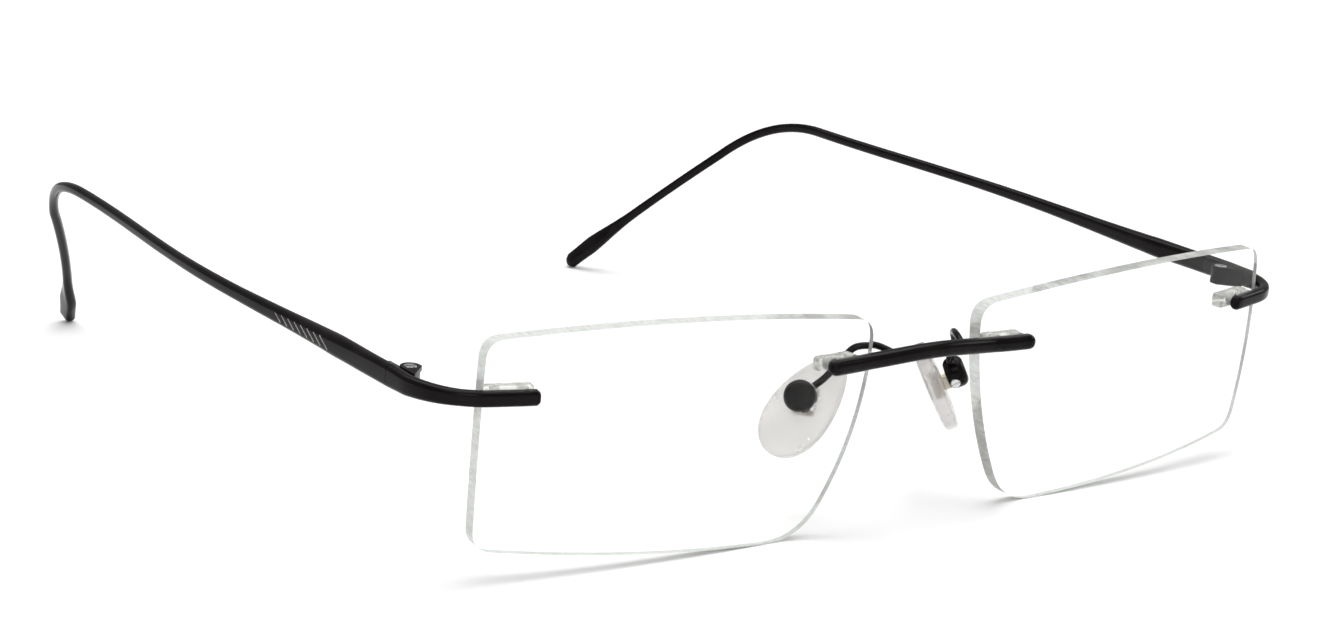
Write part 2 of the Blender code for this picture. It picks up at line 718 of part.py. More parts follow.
def make_pad_box(cutters):
    """The cup on the pad arm: two cheeks across the screw, closed at the outer end."""
    place = box_place()
    cup = rod("pad_box_form", (0, 0, BOX_FLOOR), (0, 0, BOX_FLOOR + BOX_DEPTH), BOX_RADIUS, cutters,
              place, 20)
    bevel(cup, 0.9, 3, 50)
    slot = box("box_slot_cutter", (-BOX_SLOT / 2, -4, 0), (BOX_SLOT / 2, 4, BOX_FLOOR + BOX_SLOT_DEPTH),
               cutters, place)
    combine(cup, slot, "DIFFERENCE")
    frame = pad_place()
    hole = rod("box_hole_cutter", PAD_SCREW - X_AXIS * 4, PAD_SCREW + X_AXIS * 4,
               PAD_SCREW_RADIUS + FIT_GAP, cutters, frame)
    combine(cup, hole, "DIFFERENCE")
    sink = rod("box_sink_cutter", PAD_SCREW - X_AXIS * 4, PAD_SCREW - X_AXIS * (BOX_RADIUS - 0.55),
               PAD_SCREW_HEAD + FIT_GAP, cutters, frame)
    return combine(cup, sink, "DIFFERENCE")


def make_pad_screw(cutters):
    top = BOX_RADIUS - 0.05
    profile = screw_profile(PAD_SCREW_RADIUS, PAD_SCREW_HEAD, 0.45, top, -BOX_RADIUS + 0.25)
    place = pad_place() @ Matrix.Translation(PAD_SCREW) @ Matrix.Rotation(math.radians(-90), 4, "Y")
    return make_screw("pad_screw_form", profile, 0.16, cutters, place)


def make_pad_arm(cutters):
    """The bent wire from the back of the bridge to the side of the pad box."""
    root = bridge_point(WIRE_START_X) + Vector((0.1, BRIDGE_RADIUS + FIT_GAP, 0))
    entry = Vector((-math.sin(WIRE_ENTRY), math.cos(WIRE_ENTRY), 0))
    middle = Vector((0, 0, BOX_FLOOR + BOX_DEPTH / 2))
    end = box_place() @ (middle + entry * (BOX_RADIUS + FIT_GAP))
    before = box_place() @ (middle + entry * (BOX_RADIUS + 1.7))
    route = smooth_route([root] + list(WIRE_ROUTE) + [before, end], 3)
    return tube("pad_arm_form", route, WIRE_RADIUS, cutters)


# ---------------------------------------------------------------- assembly

def make_empty(name, collection, place, parent=None):
    empty = bpy.data.objects.new(name, None)
    empty.empty_display_size = 0.01
    collection.objects.link(empty)
    empty.parent = parent
    empty.matrix_local = place
    return empty


def in_metres(place):
    scaled = place.copy()
    scaled.translation = place.translation * MM
    return scaled


def install(shape, name, side, pivot, place, material, parts):
    """Put a piece, shaped in the front frame, on its pivot: side -1 mirrors it."""
    bm = bmesh.new()
    bm.from_mesh(shape.data)
    if side < 0:
        bm.transform(Matrix.Scale(-1, 4, X_AXIS))
        bmesh.ops.reverse_faces(bm, faces=bm.faces)
    bm.transform(Matrix.Scale(MM, 4) @ place.inverted())
    bmesh.ops.remove_doubles(bm, verts=bm.verts, dist=0.000001)
    mesh = bpy.data.meshes.new(name)
    bm.to_mesh(mesh)
    bm.free()
    mesh.materials.append(material)
    mesh.shade_smooth()
    mesh.set_sharp_from_angle(angle=math.radians(35))
    piece = bpy.data.objects.new(name, mesh)
    parts.objects.link(piece)
    piece.parent = pivot
    return piece


def make_materials():
    return {
        "lacquer": make_material("black_lacquer", (0.012, 0.011, 0.012), 0.22, 0.6),
        "glass": make_material("lens_glass", (0.95, 0.97, 0.96), 0.03, 0.0, 0.95),
        "clear": make_material("clear_plastic", (0.9, 0.9, 0.86), 0.15, 0.0, 0.8),
        "soft": make_material("clear_silicone", (0.9, 0.88, 0.86), 0.3, 0.0, 0.7),
        "core": make_material("insert_plastic", (0.85, 0.8, 0.66), 0.4),
        "steel": make_material("screw_steel", (0.7, 0.7, 0.72), 0.25, 1.0),
    }


def build():
    clear_scene()
    parts = make_collection("rimless_eyeglasses")
    cutters = make_collection("cutters")
    looks = make_materials()
    lean = Matrix.Rotation(GROUND_LEAN, 4, "X")
    stand_place = Matrix.Translation((0, GROUND_BACK, GROUND_HEIGHT)) @ lean
    stand = make_empty("stand", parts, in_metres(stand_place))
    pad_pivot = pad_place() @ Matrix.Translation(PAD_SCREW)
    upright = Matrix.Identity(4)
    pieces = [
        (make_lens(cutters), "lens", "glass", upright),
        (make_lens_plug(NASAL_FIXING, NASAL_PLUG, cutters), "lens_plug_nasal", "clear", upright),
        (make_lens_plug(TEMPORAL_FIXING, TEMPORAL_PLUG, cutters), "lens_plug_temporal", "clear", upright),
        (make_endpiece(cutters), "endpiece", "lacquer", upright),
        (make_hinge_block(cutters), "hinge_block", "lacquer", upright),
        (make_hinge_screw(cutters), "hinge_screw", "steel", upright),
        (make_pad_arm(cutters), "pad_arm", "lacquer", upright),
        (make_pad_box(cutters), "pad_box", "lacquer", upright),
        (make_pad_screw(cutters), "pad_screw", "steel", upright),
        (make_hinge_leaf(cutters), "hinge_leaf", "lacquer", hinge_place()),
        (make_temple(cutters), "temple", "lacquer", hinge_place()),
        (make_pad_core(cutters), "pad_core", "core", pad_pivot),
        (make_nose_pad(cutters), "nose_pad", "soft", pad_pivot),
    ]
    bridge = make_bridge(cutters)
    install(bridge, "bridge", 1, stand, upright, looks["lacquer"], parts)
    for word, side in (("left", 1), ("right", -1)):
        pivots = {}
        for shape, name, look, place in pieces:
            side_place = place if side > 0 else mirror_place(place)
            key = tuple(side_place.translation)
            if key not in pivots:
                pivots[key] = make_empty(f"{name}_pivot_{word}", parts, in_metres(side_place), stand)
            install(shape, f"{name}_{word}", side, pivots[key], side_place, looks[look], parts)
    for shape in cutters.objects:
        shape.hide_render = True
        shape.display_type = "WIRE"


build()
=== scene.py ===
"""Rimless eyeglasses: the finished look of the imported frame, at real size.

Every piece is shaped again, finer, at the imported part's own sizes in millimetres, in the
front frame (X to the wearer's left, Y back to the ears, Z up, lenses upright), and then
placed in the row frame in metres.
"""
import json
import math

import bmesh
import bpy
from mathutils import Matrix, Vector

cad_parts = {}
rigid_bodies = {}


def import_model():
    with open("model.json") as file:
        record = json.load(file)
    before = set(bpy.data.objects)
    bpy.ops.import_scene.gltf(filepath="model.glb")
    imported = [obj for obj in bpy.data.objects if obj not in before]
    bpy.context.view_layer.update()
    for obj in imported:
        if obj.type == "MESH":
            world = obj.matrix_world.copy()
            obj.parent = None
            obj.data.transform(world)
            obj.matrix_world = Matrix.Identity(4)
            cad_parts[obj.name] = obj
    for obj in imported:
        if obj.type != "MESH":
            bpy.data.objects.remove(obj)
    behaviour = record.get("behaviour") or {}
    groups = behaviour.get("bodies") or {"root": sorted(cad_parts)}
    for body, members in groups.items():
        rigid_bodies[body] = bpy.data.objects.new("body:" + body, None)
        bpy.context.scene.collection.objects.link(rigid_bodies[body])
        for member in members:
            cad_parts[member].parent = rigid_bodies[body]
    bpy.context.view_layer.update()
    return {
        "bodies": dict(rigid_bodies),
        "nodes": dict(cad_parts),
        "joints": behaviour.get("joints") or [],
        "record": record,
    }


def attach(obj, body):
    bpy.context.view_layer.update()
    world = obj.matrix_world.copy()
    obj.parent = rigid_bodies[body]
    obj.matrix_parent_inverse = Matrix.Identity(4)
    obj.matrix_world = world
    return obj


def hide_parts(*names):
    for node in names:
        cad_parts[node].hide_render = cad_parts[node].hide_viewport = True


for old in list(bpy.data.objects):
    bpy.data.objects.remove(old, do_unlink=True)
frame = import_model()

MM = 0.001
X_AXIS, Y_AXIS, Z_AXIS = Vector((1, 0, 0)), Vector((0, 1, 0)), Vector((0, 0, 1))

# Lens, in the box system that opticians use
LENS_WIDTH = 52.0
LENS_GAP = 17.0
LENS_THICKNESS = 1.8
LENS_FRONT_RADIUS = 136.0
LENS_BACK_RADIUS = LENS_FRONT_RADIUS - 1.2
LENS_BLANK_RADIUS = 34.0
LENS_WRAP = math.radians(4.85)
LENS_CENTRE_X = (LENS_GAP + LENS_WIDTH) / 2
# Outline corners from the nasal top round to the nasal bottom: (out to the temple, up)
LENS_CORNERS = [(-26.0, 12.1), (25.6, 13.5), (25.4, -11.6), (-18.0, -14.9)]
LENS_SIDE_BOWS = [1.8, 0.4, 0.4, 2.2]
LENS_CORNER_TRIMS = [2.6, 2.2, 2.4, 5.0]

# Bars that hold the lenses, and the gap between pieces that touch
FIT_GAP = 0.06
PLUG_GAP = 0.16
BRIDGE_RADIUS = 0.95
BRIDGE_HALF_LENGTH = 15.9
BRIDGE_END_Z = 7.4
BRIDGE_RISE = 0.6
BRIDGE_FORWARD = 0.5
BRIDGE_ARCH_HALF = 12.0
BAR_TIP = Vector((53.9, 0, 7.2))
BAR_THICKNESS = 1.4
BAR_TIP_HEIGHT = 1.9
BAR_LENS_END_X = 59.2
CORNER_REACH = 0.9

# Pins through each lens, and the clear sleeve plugs that grip them
PIN_RADIUS = 0.45
BORE_RADIUS = 0.51
SLEEVE_RADIUS = 0.72
LENS_HOLE_RADIUS = 0.82
PIN_PITCH = 3.4
PLUG_DROP = 0.25
NASAL_FIXING = (12.9, BRIDGE_END_Z)
NASAL_PLUG = Vector((5.6, 1.4, 1.7))
TEMPORAL_FIXING = (56.7, 7.2)
TEMPORAL_PLUG = Vector((6.2, 1.7, 1.9))

# Hinge, in its own frame: X out, Y along the temple, Z along the hinge pin
HINGE_SLOPE = math.radians(-3.2)
HINGE_AXIS = Vector((63.2, 15.4, 6.4))
SEAM_BACK = 0.6
TEMPLE_OFFSET = 2.1
TEMPLE_THICKNESS = 1.5
JOINT_HEIGHT = 2.7
SEAM_GAP = 0.08
KNUCKLE_RADIUS = 1.2
KNUCKLE_HALF = 0.55
SLOT_HALF = 0.61
HINGE_HALF_HEIGHT = 1.2
HINGE_BLOCK_LENGTH = 2.9
SEAM_STRAIGHT = 3.8
HINGE_CHAMFER_START = 0.6
LEAF_LENGTH = 2.5
LEAF_HALF_HEIGHT = 0.85
SCREW_RADIUS = 0.48
SCREW_HEAD_RADIUS = 0.82
SCREW_HEAD_DEPTH = 0.42

# Temple: distance from the hinge, height and thickness at each station
TEMPLE_BEND = Vector((62.9, 115.8, 0.8))
TEMPLE_TIP = Vector((45.8, 145.2, -31.8))
TEMPLE_BEND_TRIM = 11.8
TEMPLE_BOW = 1.7
TIP_BOW = 0.8
TEMPLE_STATIONS = [
    (0.0, JOINT_HEIGHT, TEMPLE_THICKNESS),
    (3.6, 2.68, TEMPLE_THICKNESS),
    (13.0, 2.66, 2.05),
    (15.0, 2.5, 2.0),
    (24.0, 2.1, 1.6),
    (36.0, 1.75, 1.4),
    (54.0, 1.5, 1.3),
    (96.0, 1.4, 1.3),
    (124.0, 1.35, 1.3),
    (131.0, 1.45, 1.3),
    (135.0, 1.9, 1.4),
    (140.0, 3.0, 1.6),
    (143.0, 2.7, 1.6),
    (160.0, 2.4, 1.5),
]
PADDLE_LENGTH = 13.0
PADDLE_TWIST = math.radians(-36)
FACET_ENDS = (13.0, 28.6)
FACET_WIDTH = 0.55
SLASH_COUNT = 8
SLASH_FIRST = 14.2
SLASH_PITCH = 1.6
SLASH_ANGLE = math.radians(31)
SLASH_SIZE = Vector((0.3, 2.5, 0.5))

# Nose pad, in its own frame: X along the screw, Y up the pad, Z out from the nose
PAD_CENTRE = Vector((10.6, 9.9, -1.6))
PAD_SPLAY = math.radians(34)
PAD_FLARE = math.radians(28)
PAD_SLANT = math.radians(-24)
PAD_LENGTH = 14.4
PAD_WIDTH = 7.6
PAD_THICKNESS = 2.3
PAD_TAPER = 0.22
CORE_SIZE = Vector((2.8, 3.6, 0.7))
TAB_SIZE = Vector((1.1, 1.7, 2.2))
BOX_RADIUS = 2.0
BOX_FLOOR = 1.7
BOX_DEPTH = 2.6
BOX_UP = 0.6
BOX_SLOT = 1.4
BOX_SLOT_DEPTH = 1.75
PAD_SCREW = Vector((0, -0.15, 2.55))
PAD_SCREW_RADIUS = 0.36
PAD_SCREW_HEAD = 0.6
WIRE_RADIUS = 0.43
WIRE_START_X = 5.2
WIRE_ROUTE = [(6.4, 2.6, 8.1), (8.0, 5.0, 7.4), (9.3, 5.9, 5.4)]
WIRE_ENTRY = math.radians(39)

GROUND_LEAN = math.radians(6.99)
GROUND_HEIGHT = 14.54
GROUND_BACK = -72.76
CORNER_SEGMENTS = 6
ROUND_STEPS = 32



def shape_object(name, bm, collection):
    bmesh.ops.recalc_face_normals(bm, faces=bm.faces)
    mesh = bpy.data.meshes.new(name)
    bm.to_mesh(mesh)
    bm.free()
    shape = bpy.data.objects.new(name, mesh)
    collection.objects.link(shape)
    return shape


def bake_modifiers(shape):
    """Swap the mesh for the one that the modifiers give, and drop the modifiers."""
    bpy.context.view_layer.update()
    evaluated = shape.evaluated_get(bpy.context.evaluated_depsgraph_get())
    mesh = bpy.data.meshes.new_from_object(evaluated)
    shape.modifiers.clear()
    shape.data = mesh
    return shape


def combine(shape, tool, operation):
    """Boolean of shape with tool, which then stays as a hidden guide."""
    boolean = shape.modifiers.new("Boolean", "BOOLEAN")
    boolean.operation = operation
    boolean.solver = "EXACT"
    boolean.object = tool
    bake_modifiers(shape)
    tool.hide_render = True
    tool.display_type = "WIRE"
    return shape


def bevel(shape, width, segments=2, angle=30):
    modifier = shape.modifiers.new("Bevel", "BEVEL")
    modifier.width = width
    modifier.segments = segments
    modifier.limit_method = "ANGLE"
    modifier.angle_limit = math.radians(angle)
    return bake_modifiers(shape)


def box(name, low, high, collection, place=Matrix()):
    low, high = Vector(low), Vector(high)
    size = Matrix.Diagonal((high - low).to_4d())
    size[3][3] = 1
    bm = bmesh.new()
    bmesh.ops.create_cube(bm, size=1, matrix=place @ Matrix.Translation((low + high) / 2) @ size)
    return shape_object(name, bm, collection)


def rod(name, start, end, radius, collection, place=Matrix(), steps=ROUND_STEPS):
    start, end = Vector(start), Vector(end)
    turn = (end - start).to_track_quat("Z", "Y").to_matrix().to_4x4()
    bm = bmesh.new()
    bmesh.ops.create_cone(
        bm, cap_ends=True, segments=steps, radius1=radius, radius2=radius,
        depth=(end - start).length, matrix=place @ Matrix.Translation((start + end) / 2) @ turn,
    )
    return shape_object(name, bm, collection)


def turned(name, profile, steps, collection, place=Matrix()):
    """A profile of (radius, height) points, top to bottom, turned about Z."""
    mesh = bpy.data.meshes.new(name)
    points = [(radius, 0, height) for radius, height in profile]
    mesh.from_pydata(points, [(i, i + 1) for i in range(len(points) - 1)], [])
    shape = bpy.data.objects.new(name, mesh)
    collection.objects.link(shape)
    screw = shape.modifiers.new("Screw", "SCREW")
    screw.steps = steps
    screw.render_steps = steps
    screw.use_merge_vertices = True
    screw.merge_threshold = 0.0001
    bake_modifiers(shape)
    bm = bmesh.new()
    bm.from_mesh(shape.data)
    bmesh.ops.remove_doubles(bm, verts=bm.verts, dist=0.0001)
    bmesh.ops.recalc_face_normals(bm, faces=bm.faces)
    bm.transform(place)
    bm.to_mesh(shape.data)
    bm.free()
    return shape


def tube(name, points, radius, collection):
    """A round wire through the points, made from a bevelled curve."""
    curve = bpy.data.curves.new(name, "CURVE")
    curve.dimensions = "3D"
    curve.bevel_depth = radius
    curve.bevel_resolution = 6
    curve.use_fill_caps = True
    spline = curve.splines.new("POLY")
    spline.points.add(len(points) - 1)
    for spot, point in zip(spline.points, points):
        spot.co = (*point, 1)
    wire = bpy.data.objects.new(name + "_curve", curve)
    collection.objects.link(wire)
    bpy.context.view_layer.update()
    evaluated = wire.evaluated_get(bpy.context.evaluated_depsgraph_get())
    bm = bmesh.new()
    bm.from_mesh(bpy.data.meshes.new_from_object(evaluated))
    bmesh.ops.remove_doubles(bm, verts=bm.verts, dist=0.0001)
    bpy.data.objects.remove(wire, do_unlink=True)
    return shape_object(name, bm, collection)


def smooth_route(points, steps):
    """Points on a smooth curve that passes through all the given ones."""
    points = [Vector(p) for p in points]
    ends = [2 * points[0] - points[1]] + points + [2 * points[-1] - points[-2]]
    route = []
    for a, b, c, d in zip(ends, ends[1:], ends[2:], ends[3:]):
        for i in range(steps):
            t = i / steps
            route.append(0.5 * (2 * b + (c - a) * t + (2 * a - 5 * b + 4 * c - d) * t ** 2
                                + (3 * b - a - 3 * c + d) * t ** 3))
    return route + [points[-1]]


def bezier(start, control, end, steps):
    start, control, end = Vector(start), Vector(control), Vector(end)
    spots = [i / steps for i in range(steps + 1)]
    return [(1 - t) ** 2 * start + 2 * t * (1 - t) * control + t * t * end for t in spots]


def rounded_section(thickness, height):
    """Points round a rectangle with flat sides and rounded corners."""
    radius = 0.42 * min(thickness, height)
    section = []
    for quarter in range(4):
        corner = Vector((1 if quarter in (0, 3) else -1, 1 if quarter < 2 else -1))
        middle = Vector((corner.x * (thickness / 2 - radius), corner.y * (height / 2 - radius)))
        for i in range(CORNER_SEGMENTS + 1):
            angle = math.pi / 2 * (quarter + i / CORNER_SEGMENTS)
            section.append(middle + radius * Vector((math.cos(angle), math.sin(angle))))
    return section


def sweep(name, route, sections, collection):
    """A bar along the route: a loft between sections whose shape changes on the way."""
    bm = bmesh.new()
    rings = []
    for i, point in enumerate(route):
        along = (route[min(i + 1, len(route) - 1)] - route[max(i - 1, 0)]).normalized()
        across = along.cross(Z_AXIS).normalized()
        up = across.cross(along)
        rings.append([bm.verts.new(point + across * p.x + up * p.y) for p in sections[i]])
    for ring, following in zip(rings, rings[1:]):
        for i in range(len(ring)):
            k = (i + 1) % len(ring)
            bm.faces.new((ring[i], ring[k], following[k], following[i]))
    bm.faces.new(rings[0])
    bm.faces.new(rings[-1])
    return shape_object(name, bm, collection)


def distances(route):
    total = [0.0]
    for a, b in zip(route, route[1:]):
        total.append(total[-1] + (b - a).length)
    return total


def between(stations, distance):
    """Sizes at a distance, blended between the stations on each side of it."""
    for a, b in zip(stations, stations[1:]):
        if distance <= b[0]:
            t = (distance - a[0]) / (b[0] - a[0])
            return [p + (q - p) * t for p, q in zip(a[1:], b[1:])]
    return list(stations[-1][1:])


# ---------------------------------------------------------------- frames of reference

def lens_place():
    return Matrix.Translation((LENS_CENTRE_X, 0, 0)) @ Matrix.Rotation(LENS_WRAP, 4, "Z")


def lens_front(x, z):
    """The point of the lens's front surface at x and z, and the way back through the lens."""
    place = lens_place()
    u = (x - LENS_CENTRE_X) / math.cos(LENS_WRAP)
    for _ in range(4):
        depth = LENS_FRONT_RADIUS - math.sqrt(LENS_FRONT_RADIUS ** 2 - u * u - z * z)
        u += (x - (place @ Vector((u, depth, z))).x) / math.cos(LENS_WRAP)
    inward = Vector((-u, LENS_FRONT_RADIUS - depth, -z)).normalized()
    return place @ Vector((u, depth, z)), place.to_3x3() @ inward


def fixing_place(x, z):
    """Frame of a lens fixing: Y goes back through the lens, X runs along the bar."""
    point, back = lens_front(x, z)
    along = (X_AXIS - back * back.x).normalized()
    turn = Matrix((along, back, along.cross(back))).transposed()
    return Matrix.Translation(point) @ turn.to_4x4()


def hinge_place():
    return Matrix.Translation(HINGE_AXIS) @ Matrix.Rotation(HINGE_SLOPE, 4, "X")


def mirror_place(place):
    flip = Matrix.Scale(-1, 4, X_AXIS)
    return flip @ place @ flip


def pad_place():
    splay = Vector((math.sin(PAD_SPLAY), math.cos(PAD_SPLAY), 0))
    out = Vector((math.cos(PAD_SPLAY), -math.sin(PAD_SPLAY), 0)) * math.cos(PAD_FLARE)
    out.z = math.sin(PAD_FLARE)
    turn = Matrix((splay, out.cross(splay), out)).transposed()
    return Matrix.Translation(PAD_CENTRE) @ turn.to_4x4()


# ---------------------------------------------------------------- the pieces

def lens_outline():
    """Points of the lens edge: four bowed sides joined by rounded corners."""
    corners = [Vector(c) for c in LENS_CORNERS]
    sides = []
    for i, bow in enumerate(LENS_SIDE_BOWS):
        a, b = corners[i], corners[(i + 1) % 4]
        outward = Vector((-(b - a).y, (b - a).x)).normalized()
        first = LENS_CORNER_TRIMS[i] / (b - a).length
        last = 1 - LENS_CORNER_TRIMS[(i + 1) % 4] / (b - a).length
        spots = [first + (last - first) * k / 24 for k in range(25)]
        sides.append([a.lerp(b, t) + outward * bow * 4 * t * (1 - t) for t in spots])
    outline = []
    for i, side in enumerate(sides):
        following = sides[(i + 1) % 4]
        rise = side[-1] - side[-2]
        drop = following[0] - following[1]
        gap = following[0] - side[-1]
        reach = (gap.x * drop.y - gap.y * drop.x) / (rise.x * drop.y - rise.y * drop.x)
        corner = bezier(side[-1], side[-1] + rise * reach, following[0], 12)
        outline += side + corner[1:-1]
    return outline


def make_lens(cutters):
    """A meniscus blank, edged to the outline and drilled for the four pins."""
    rings = [LENS_BLANK_RADIUS * i / 12 for i in range(13)]
    front = [(r, LENS_FRONT_RADIUS - math.sqrt(LENS_FRONT_RADIUS ** 2 - r * r)) for r in rings]
    back = [(r, LENS_THICKNESS + LENS_BACK_RADIUS - math.sqrt(LENS_BACK_RADIUS ** 2 - r * r))
            for r in rings]
    place = lens_place() @ Matrix.Rotation(math.radians(-90), 4, "X")
    lens = turned("lens_form", back + front[::-1], 96, cutters, place)
    bm = bmesh.new()
    low = [bm.verts.new((p.x, -20, p.y)) for p in lens_outline()]
    high = [bm.verts.new((p.x, 20, p.y)) for p in lens_outline()]
    bm.faces.new(low)
    bm.faces.new(high)
    for i in range(len(low)):
        k = (i + 1) % len(low)
        bm.faces.new((low[i], low[k], high[k], high[i]))
    bm.transform(lens_place())
    combine(lens, shape_object("lens_edge_cutter", bm, cutters), "INTERSECT")
    bevel(lens, 0.16, 3, 50)
    for fixing in (NASAL_FIXING, TEMPORAL_FIXING):
        for side in (-1, 1):
            x = side * PIN_PITCH / 2
            hole = rod("lens_hole_cutter", (x, -4, 0), (x, 8, 0), LENS_HOLE_RADIUS, cutters,
                       fixing_place(*fixing))
            combine(lens, hole, "DIFFERENCE")
    return lens


def add_pins(bar, place, depth, cutters):
    """Two pins brazed to the back of a bar, which reach through the lens and its plug."""
    reach = LENS_THICKNESS + PLUG_GAP + depth + 2 * FIT_GAP
    for side in (-1, 1):
        x = side * PIN_PITCH / 2
        pin = rod("pin_guide", (x, -BRIDGE_RADIUS, 0), (x, reach, 0), PIN_RADIUS, cutters, place)
        combine(bar, pin, "UNION")


def make_lens_plug(fixing, size, cutters):
    """A clear block behind the lens with two sleeves through it, bored for the pins."""
    place = fixing_place(*fixing)
    floor = LENS_THICKNESS + PLUG_GAP
    half = size / 2
    plug = box("plug_form", (-half.x, floor, -half.z - PLUG_DROP),
               (half.x, floor + size.y, half.z - PLUG_DROP), cutters, place)
    bevel(plug, 0.42, 5)
    for side in (-1, 1):
        x = side * PIN_PITCH / 2
        sleeve = rod("sleeve_guide", (x, FIT_GAP, 0), (x, floor + 0.9, 0), SLEEVE_RADIUS, cutters, place)
        combine(plug, sleeve, "UNION")
    for side in (-1, 1):
        x = side * PIN_PITCH / 2
        bore = rod("bore_cutter", (x, -2, 0), (x, 9, 0), BORE_RADIUS, cutters, place)
        combine(plug, bore, "DIFFERENCE")
    return plug


def bridge_point(x):
    """Centre of the bridge bar: on the lens at its ends, arched up and forward between."""
    edge = max(abs(x), LENS_GAP / 2 + 1)
    point, back = lens_front(edge, BRIDGE_END_Z)
    point = point - back * (BRIDGE_RADIUS + FIT_GAP)
    arch = math.cos(min(abs(x) / BRIDGE_ARCH_HALF, 1) * math.pi / 2) ** 2
    return Vector((x, point.y - BRIDGE_FORWARD * arch, point.z + BRIDGE_RISE * arch))


def make_bridge(cutters):
    steps = 72
    route, sections = [], []
    for i in range(steps + 1):
        x = BRIDGE_HALF_LENGTH * -math.cos(math.pi * i / steps)
        from_end = BRIDGE_HALF_LENGTH - abs(x)
        round_off = min(from_end / BRIDGE_RADIUS, 1)
        width = 2 * BRIDGE_RADIUS * math.sqrt(max(1 - (1 - round_off) ** 2, 0.03))
        route.append(bridge_point(x))
        sections.append(rounded_section(width, width))
    bridge = sweep("bridge_form", route, sections, cutters)
    place = fixing_place(*NASAL_FIXING)
    add_pins(bridge, place, NASAL_PLUG.y, cutters)
    add_pins(bridge, mirror_place(place), NASAL_PLUG.y, cutters)
    return bridge


def endpiece_route():
    """Along the lens front, round the corner and back to the hinge seam."""
    half = BAR_THICKNESS / 2
    on_lens = []
    for i in range(5):
        x = BAR_TIP.x + (BAR_LENS_END_X - BAR_TIP.x) * i / 4
        point, back = lens_front(x, BAR_TIP.z)
        on_lens.append(point - back * (half + FIT_GAP))
    frame = hinge_place()
    straight = frame @ Vector((TEMPLE_OFFSET, SEAM_BACK - SEAM_STRAIGHT, 0))
    along = (on_lens[-1] - on_lens[-2]).normalized()
    control = on_lens[-1] + along * (straight.x - on_lens[-1].x) * CORNER_REACH
    corner = bezier(on_lens[-1], control, straight, 30)
    last = [frame @ Vector((TEMPLE_OFFSET, SEAM_BACK + y, 0)) for y in (-2.5, -1.2, 0.0)]
    return on_lens + corner[1:] + last


def make_endpiece(cutters):
    route = endpiece_route()
    tip = [0.0, 0.1, 0.3]
    lead = [route[0].lerp(route[1], d / (route[1] - route[0]).length) for d in tip]
    route = lead + route[1:]
    run = distances(route)
    sections = []
    for distance in run:
        share = distance / run[-1]
        height = BAR_TIP_HEIGHT + (JOINT_HEIGHT - BAR_TIP_HEIGHT) * max(share - 0.45, 0) / 0.55
        rounding = max(0.3 - distance, 0)
        thickness = BAR_THICKNESS + (TEMPLE_THICKNESS - BAR_THICKNESS) * share
        sections.append(rounded_section(thickness - rounding * 0.5, height - rounding * 1.6))
    endpiece = sweep("endpiece_form", route, sections, cutters)
    add_pins(endpiece, fixing_place(*TEMPORAL_FIXING), TEMPORAL_PLUG.y, cutters)
    return endpiece


def make_hinge_block(cutters):
    """The front half of the hinge: a chamfered block with two knuckles round the screw."""
    place = hinge_place()
    outer = TEMPLE_OFFSET - TEMPLE_THICKNESS / 2 - FIT_GAP
    block = box("hinge_block_form", (-KNUCKLE_RADIUS, -HINGE_BLOCK_LENGTH, -HINGE_HALF_HEIGHT),
                (outer, 0, HINGE_HALF_HEIGHT), cutters, place)
    corner = Matrix.Translation((-KNUCKLE_RADIUS, -HINGE_CHAMFER_START, 0))
    slope = place @ corner @ Matrix.Rotation(math.radians(-45), 4, "Z")
    chamfer = box("hinge_chamfer_cutter", (-5, -5, -3), (6, 0, 3), cutters, slope)
    combine(block, chamfer, "DIFFERENCE")
    bevel(block, 0.28, 4)
    knuckle = rod("knuckle_guide", (0, 0, 0.03 - HINGE_HALF_HEIGHT), (0, 0, HINGE_HALF_HEIGHT - 0.03),
                  KNUCKLE_RADIUS - 0.01, cutters, place, 48)
    combine(block, knuckle, "UNION")
    room = rod("knuckle_room_cutter", (0, 0, -SLOT_HALF), (0, 0, SLOT_HALF),
               KNUCKLE_RADIUS + 0.2, cutters, place, 48)
    combine(block, room, "DIFFERENCE")
    return drill_hinge(block, cutters, True)


def drill_hinge(shape, cutters, for_head):
    place = hinge_place()
    hole = rod("screw_hole_cutter", (0, 0, -3), (0, 0, 3), SCREW_RADIUS + FIT_GAP, cutters, place)
    combine(shape, hole, "DIFFERENCE")
    if for_head:
        seat = HINGE_HALF_HEIGHT - SCREW_HEAD_DEPTH - FIT_GAP
        sink = rod("screw_head_cutter", (0, 0, seat), (0, 0, 3), SCREW_HEAD_RADIUS + FIT_GAP,
                   cutters, place)
        combine(shape, sink, "DIFFERENCE")
    return shape


def make_hinge_leaf(cutters):
    """The temple's half of the hinge: one knuckle on a leaf brazed inside the temple."""
    place = hinge_place()
    outer = TEMPLE_OFFSET - TEMPLE_THICKNESS / 2 - FIT_GAP
    front = SEAM_BACK + 0.5
    leaf = box("hinge_leaf_form", (outer - 0.75, front, -LEAF_HALF_HEIGHT),
               (outer, front + LEAF_LENGTH, LEAF_HALF_HEIGHT), cutters, place)
    bevel(leaf, 0.24, 4)
    web = box("web_guide", (0, 0, 0.03 - KNUCKLE_HALF), (outer - 0.1, front + 0.7, KNUCKLE_HALF - 0.03),
              cutters, place)
    combine(leaf, web, "UNION")
    knuckle = rod("leaf_knuckle_guide", (0, 0, -KNUCKLE_HALF), (0, 0, KNUCKLE_HALF),
                  KNUCKLE_RADIUS - FIT_GAP, cutters, place, 48)
    combine(leaf, knuckle, "UNION")
    return drill_hinge(leaf, cutters, False)


def screw_profile(radius, head_radius, head_depth, top, bottom):
    """Profile of a flat-headed screw with a small lead at its end."""
    return [(0, top), (head_radius - 0.08, top), (head_radius, top - 0.08),
            (head_radius, top - head_depth), (radius, top - head_depth),
            (radius, bottom + 0.12), (radius - 0.12, bottom), (0, bottom)]


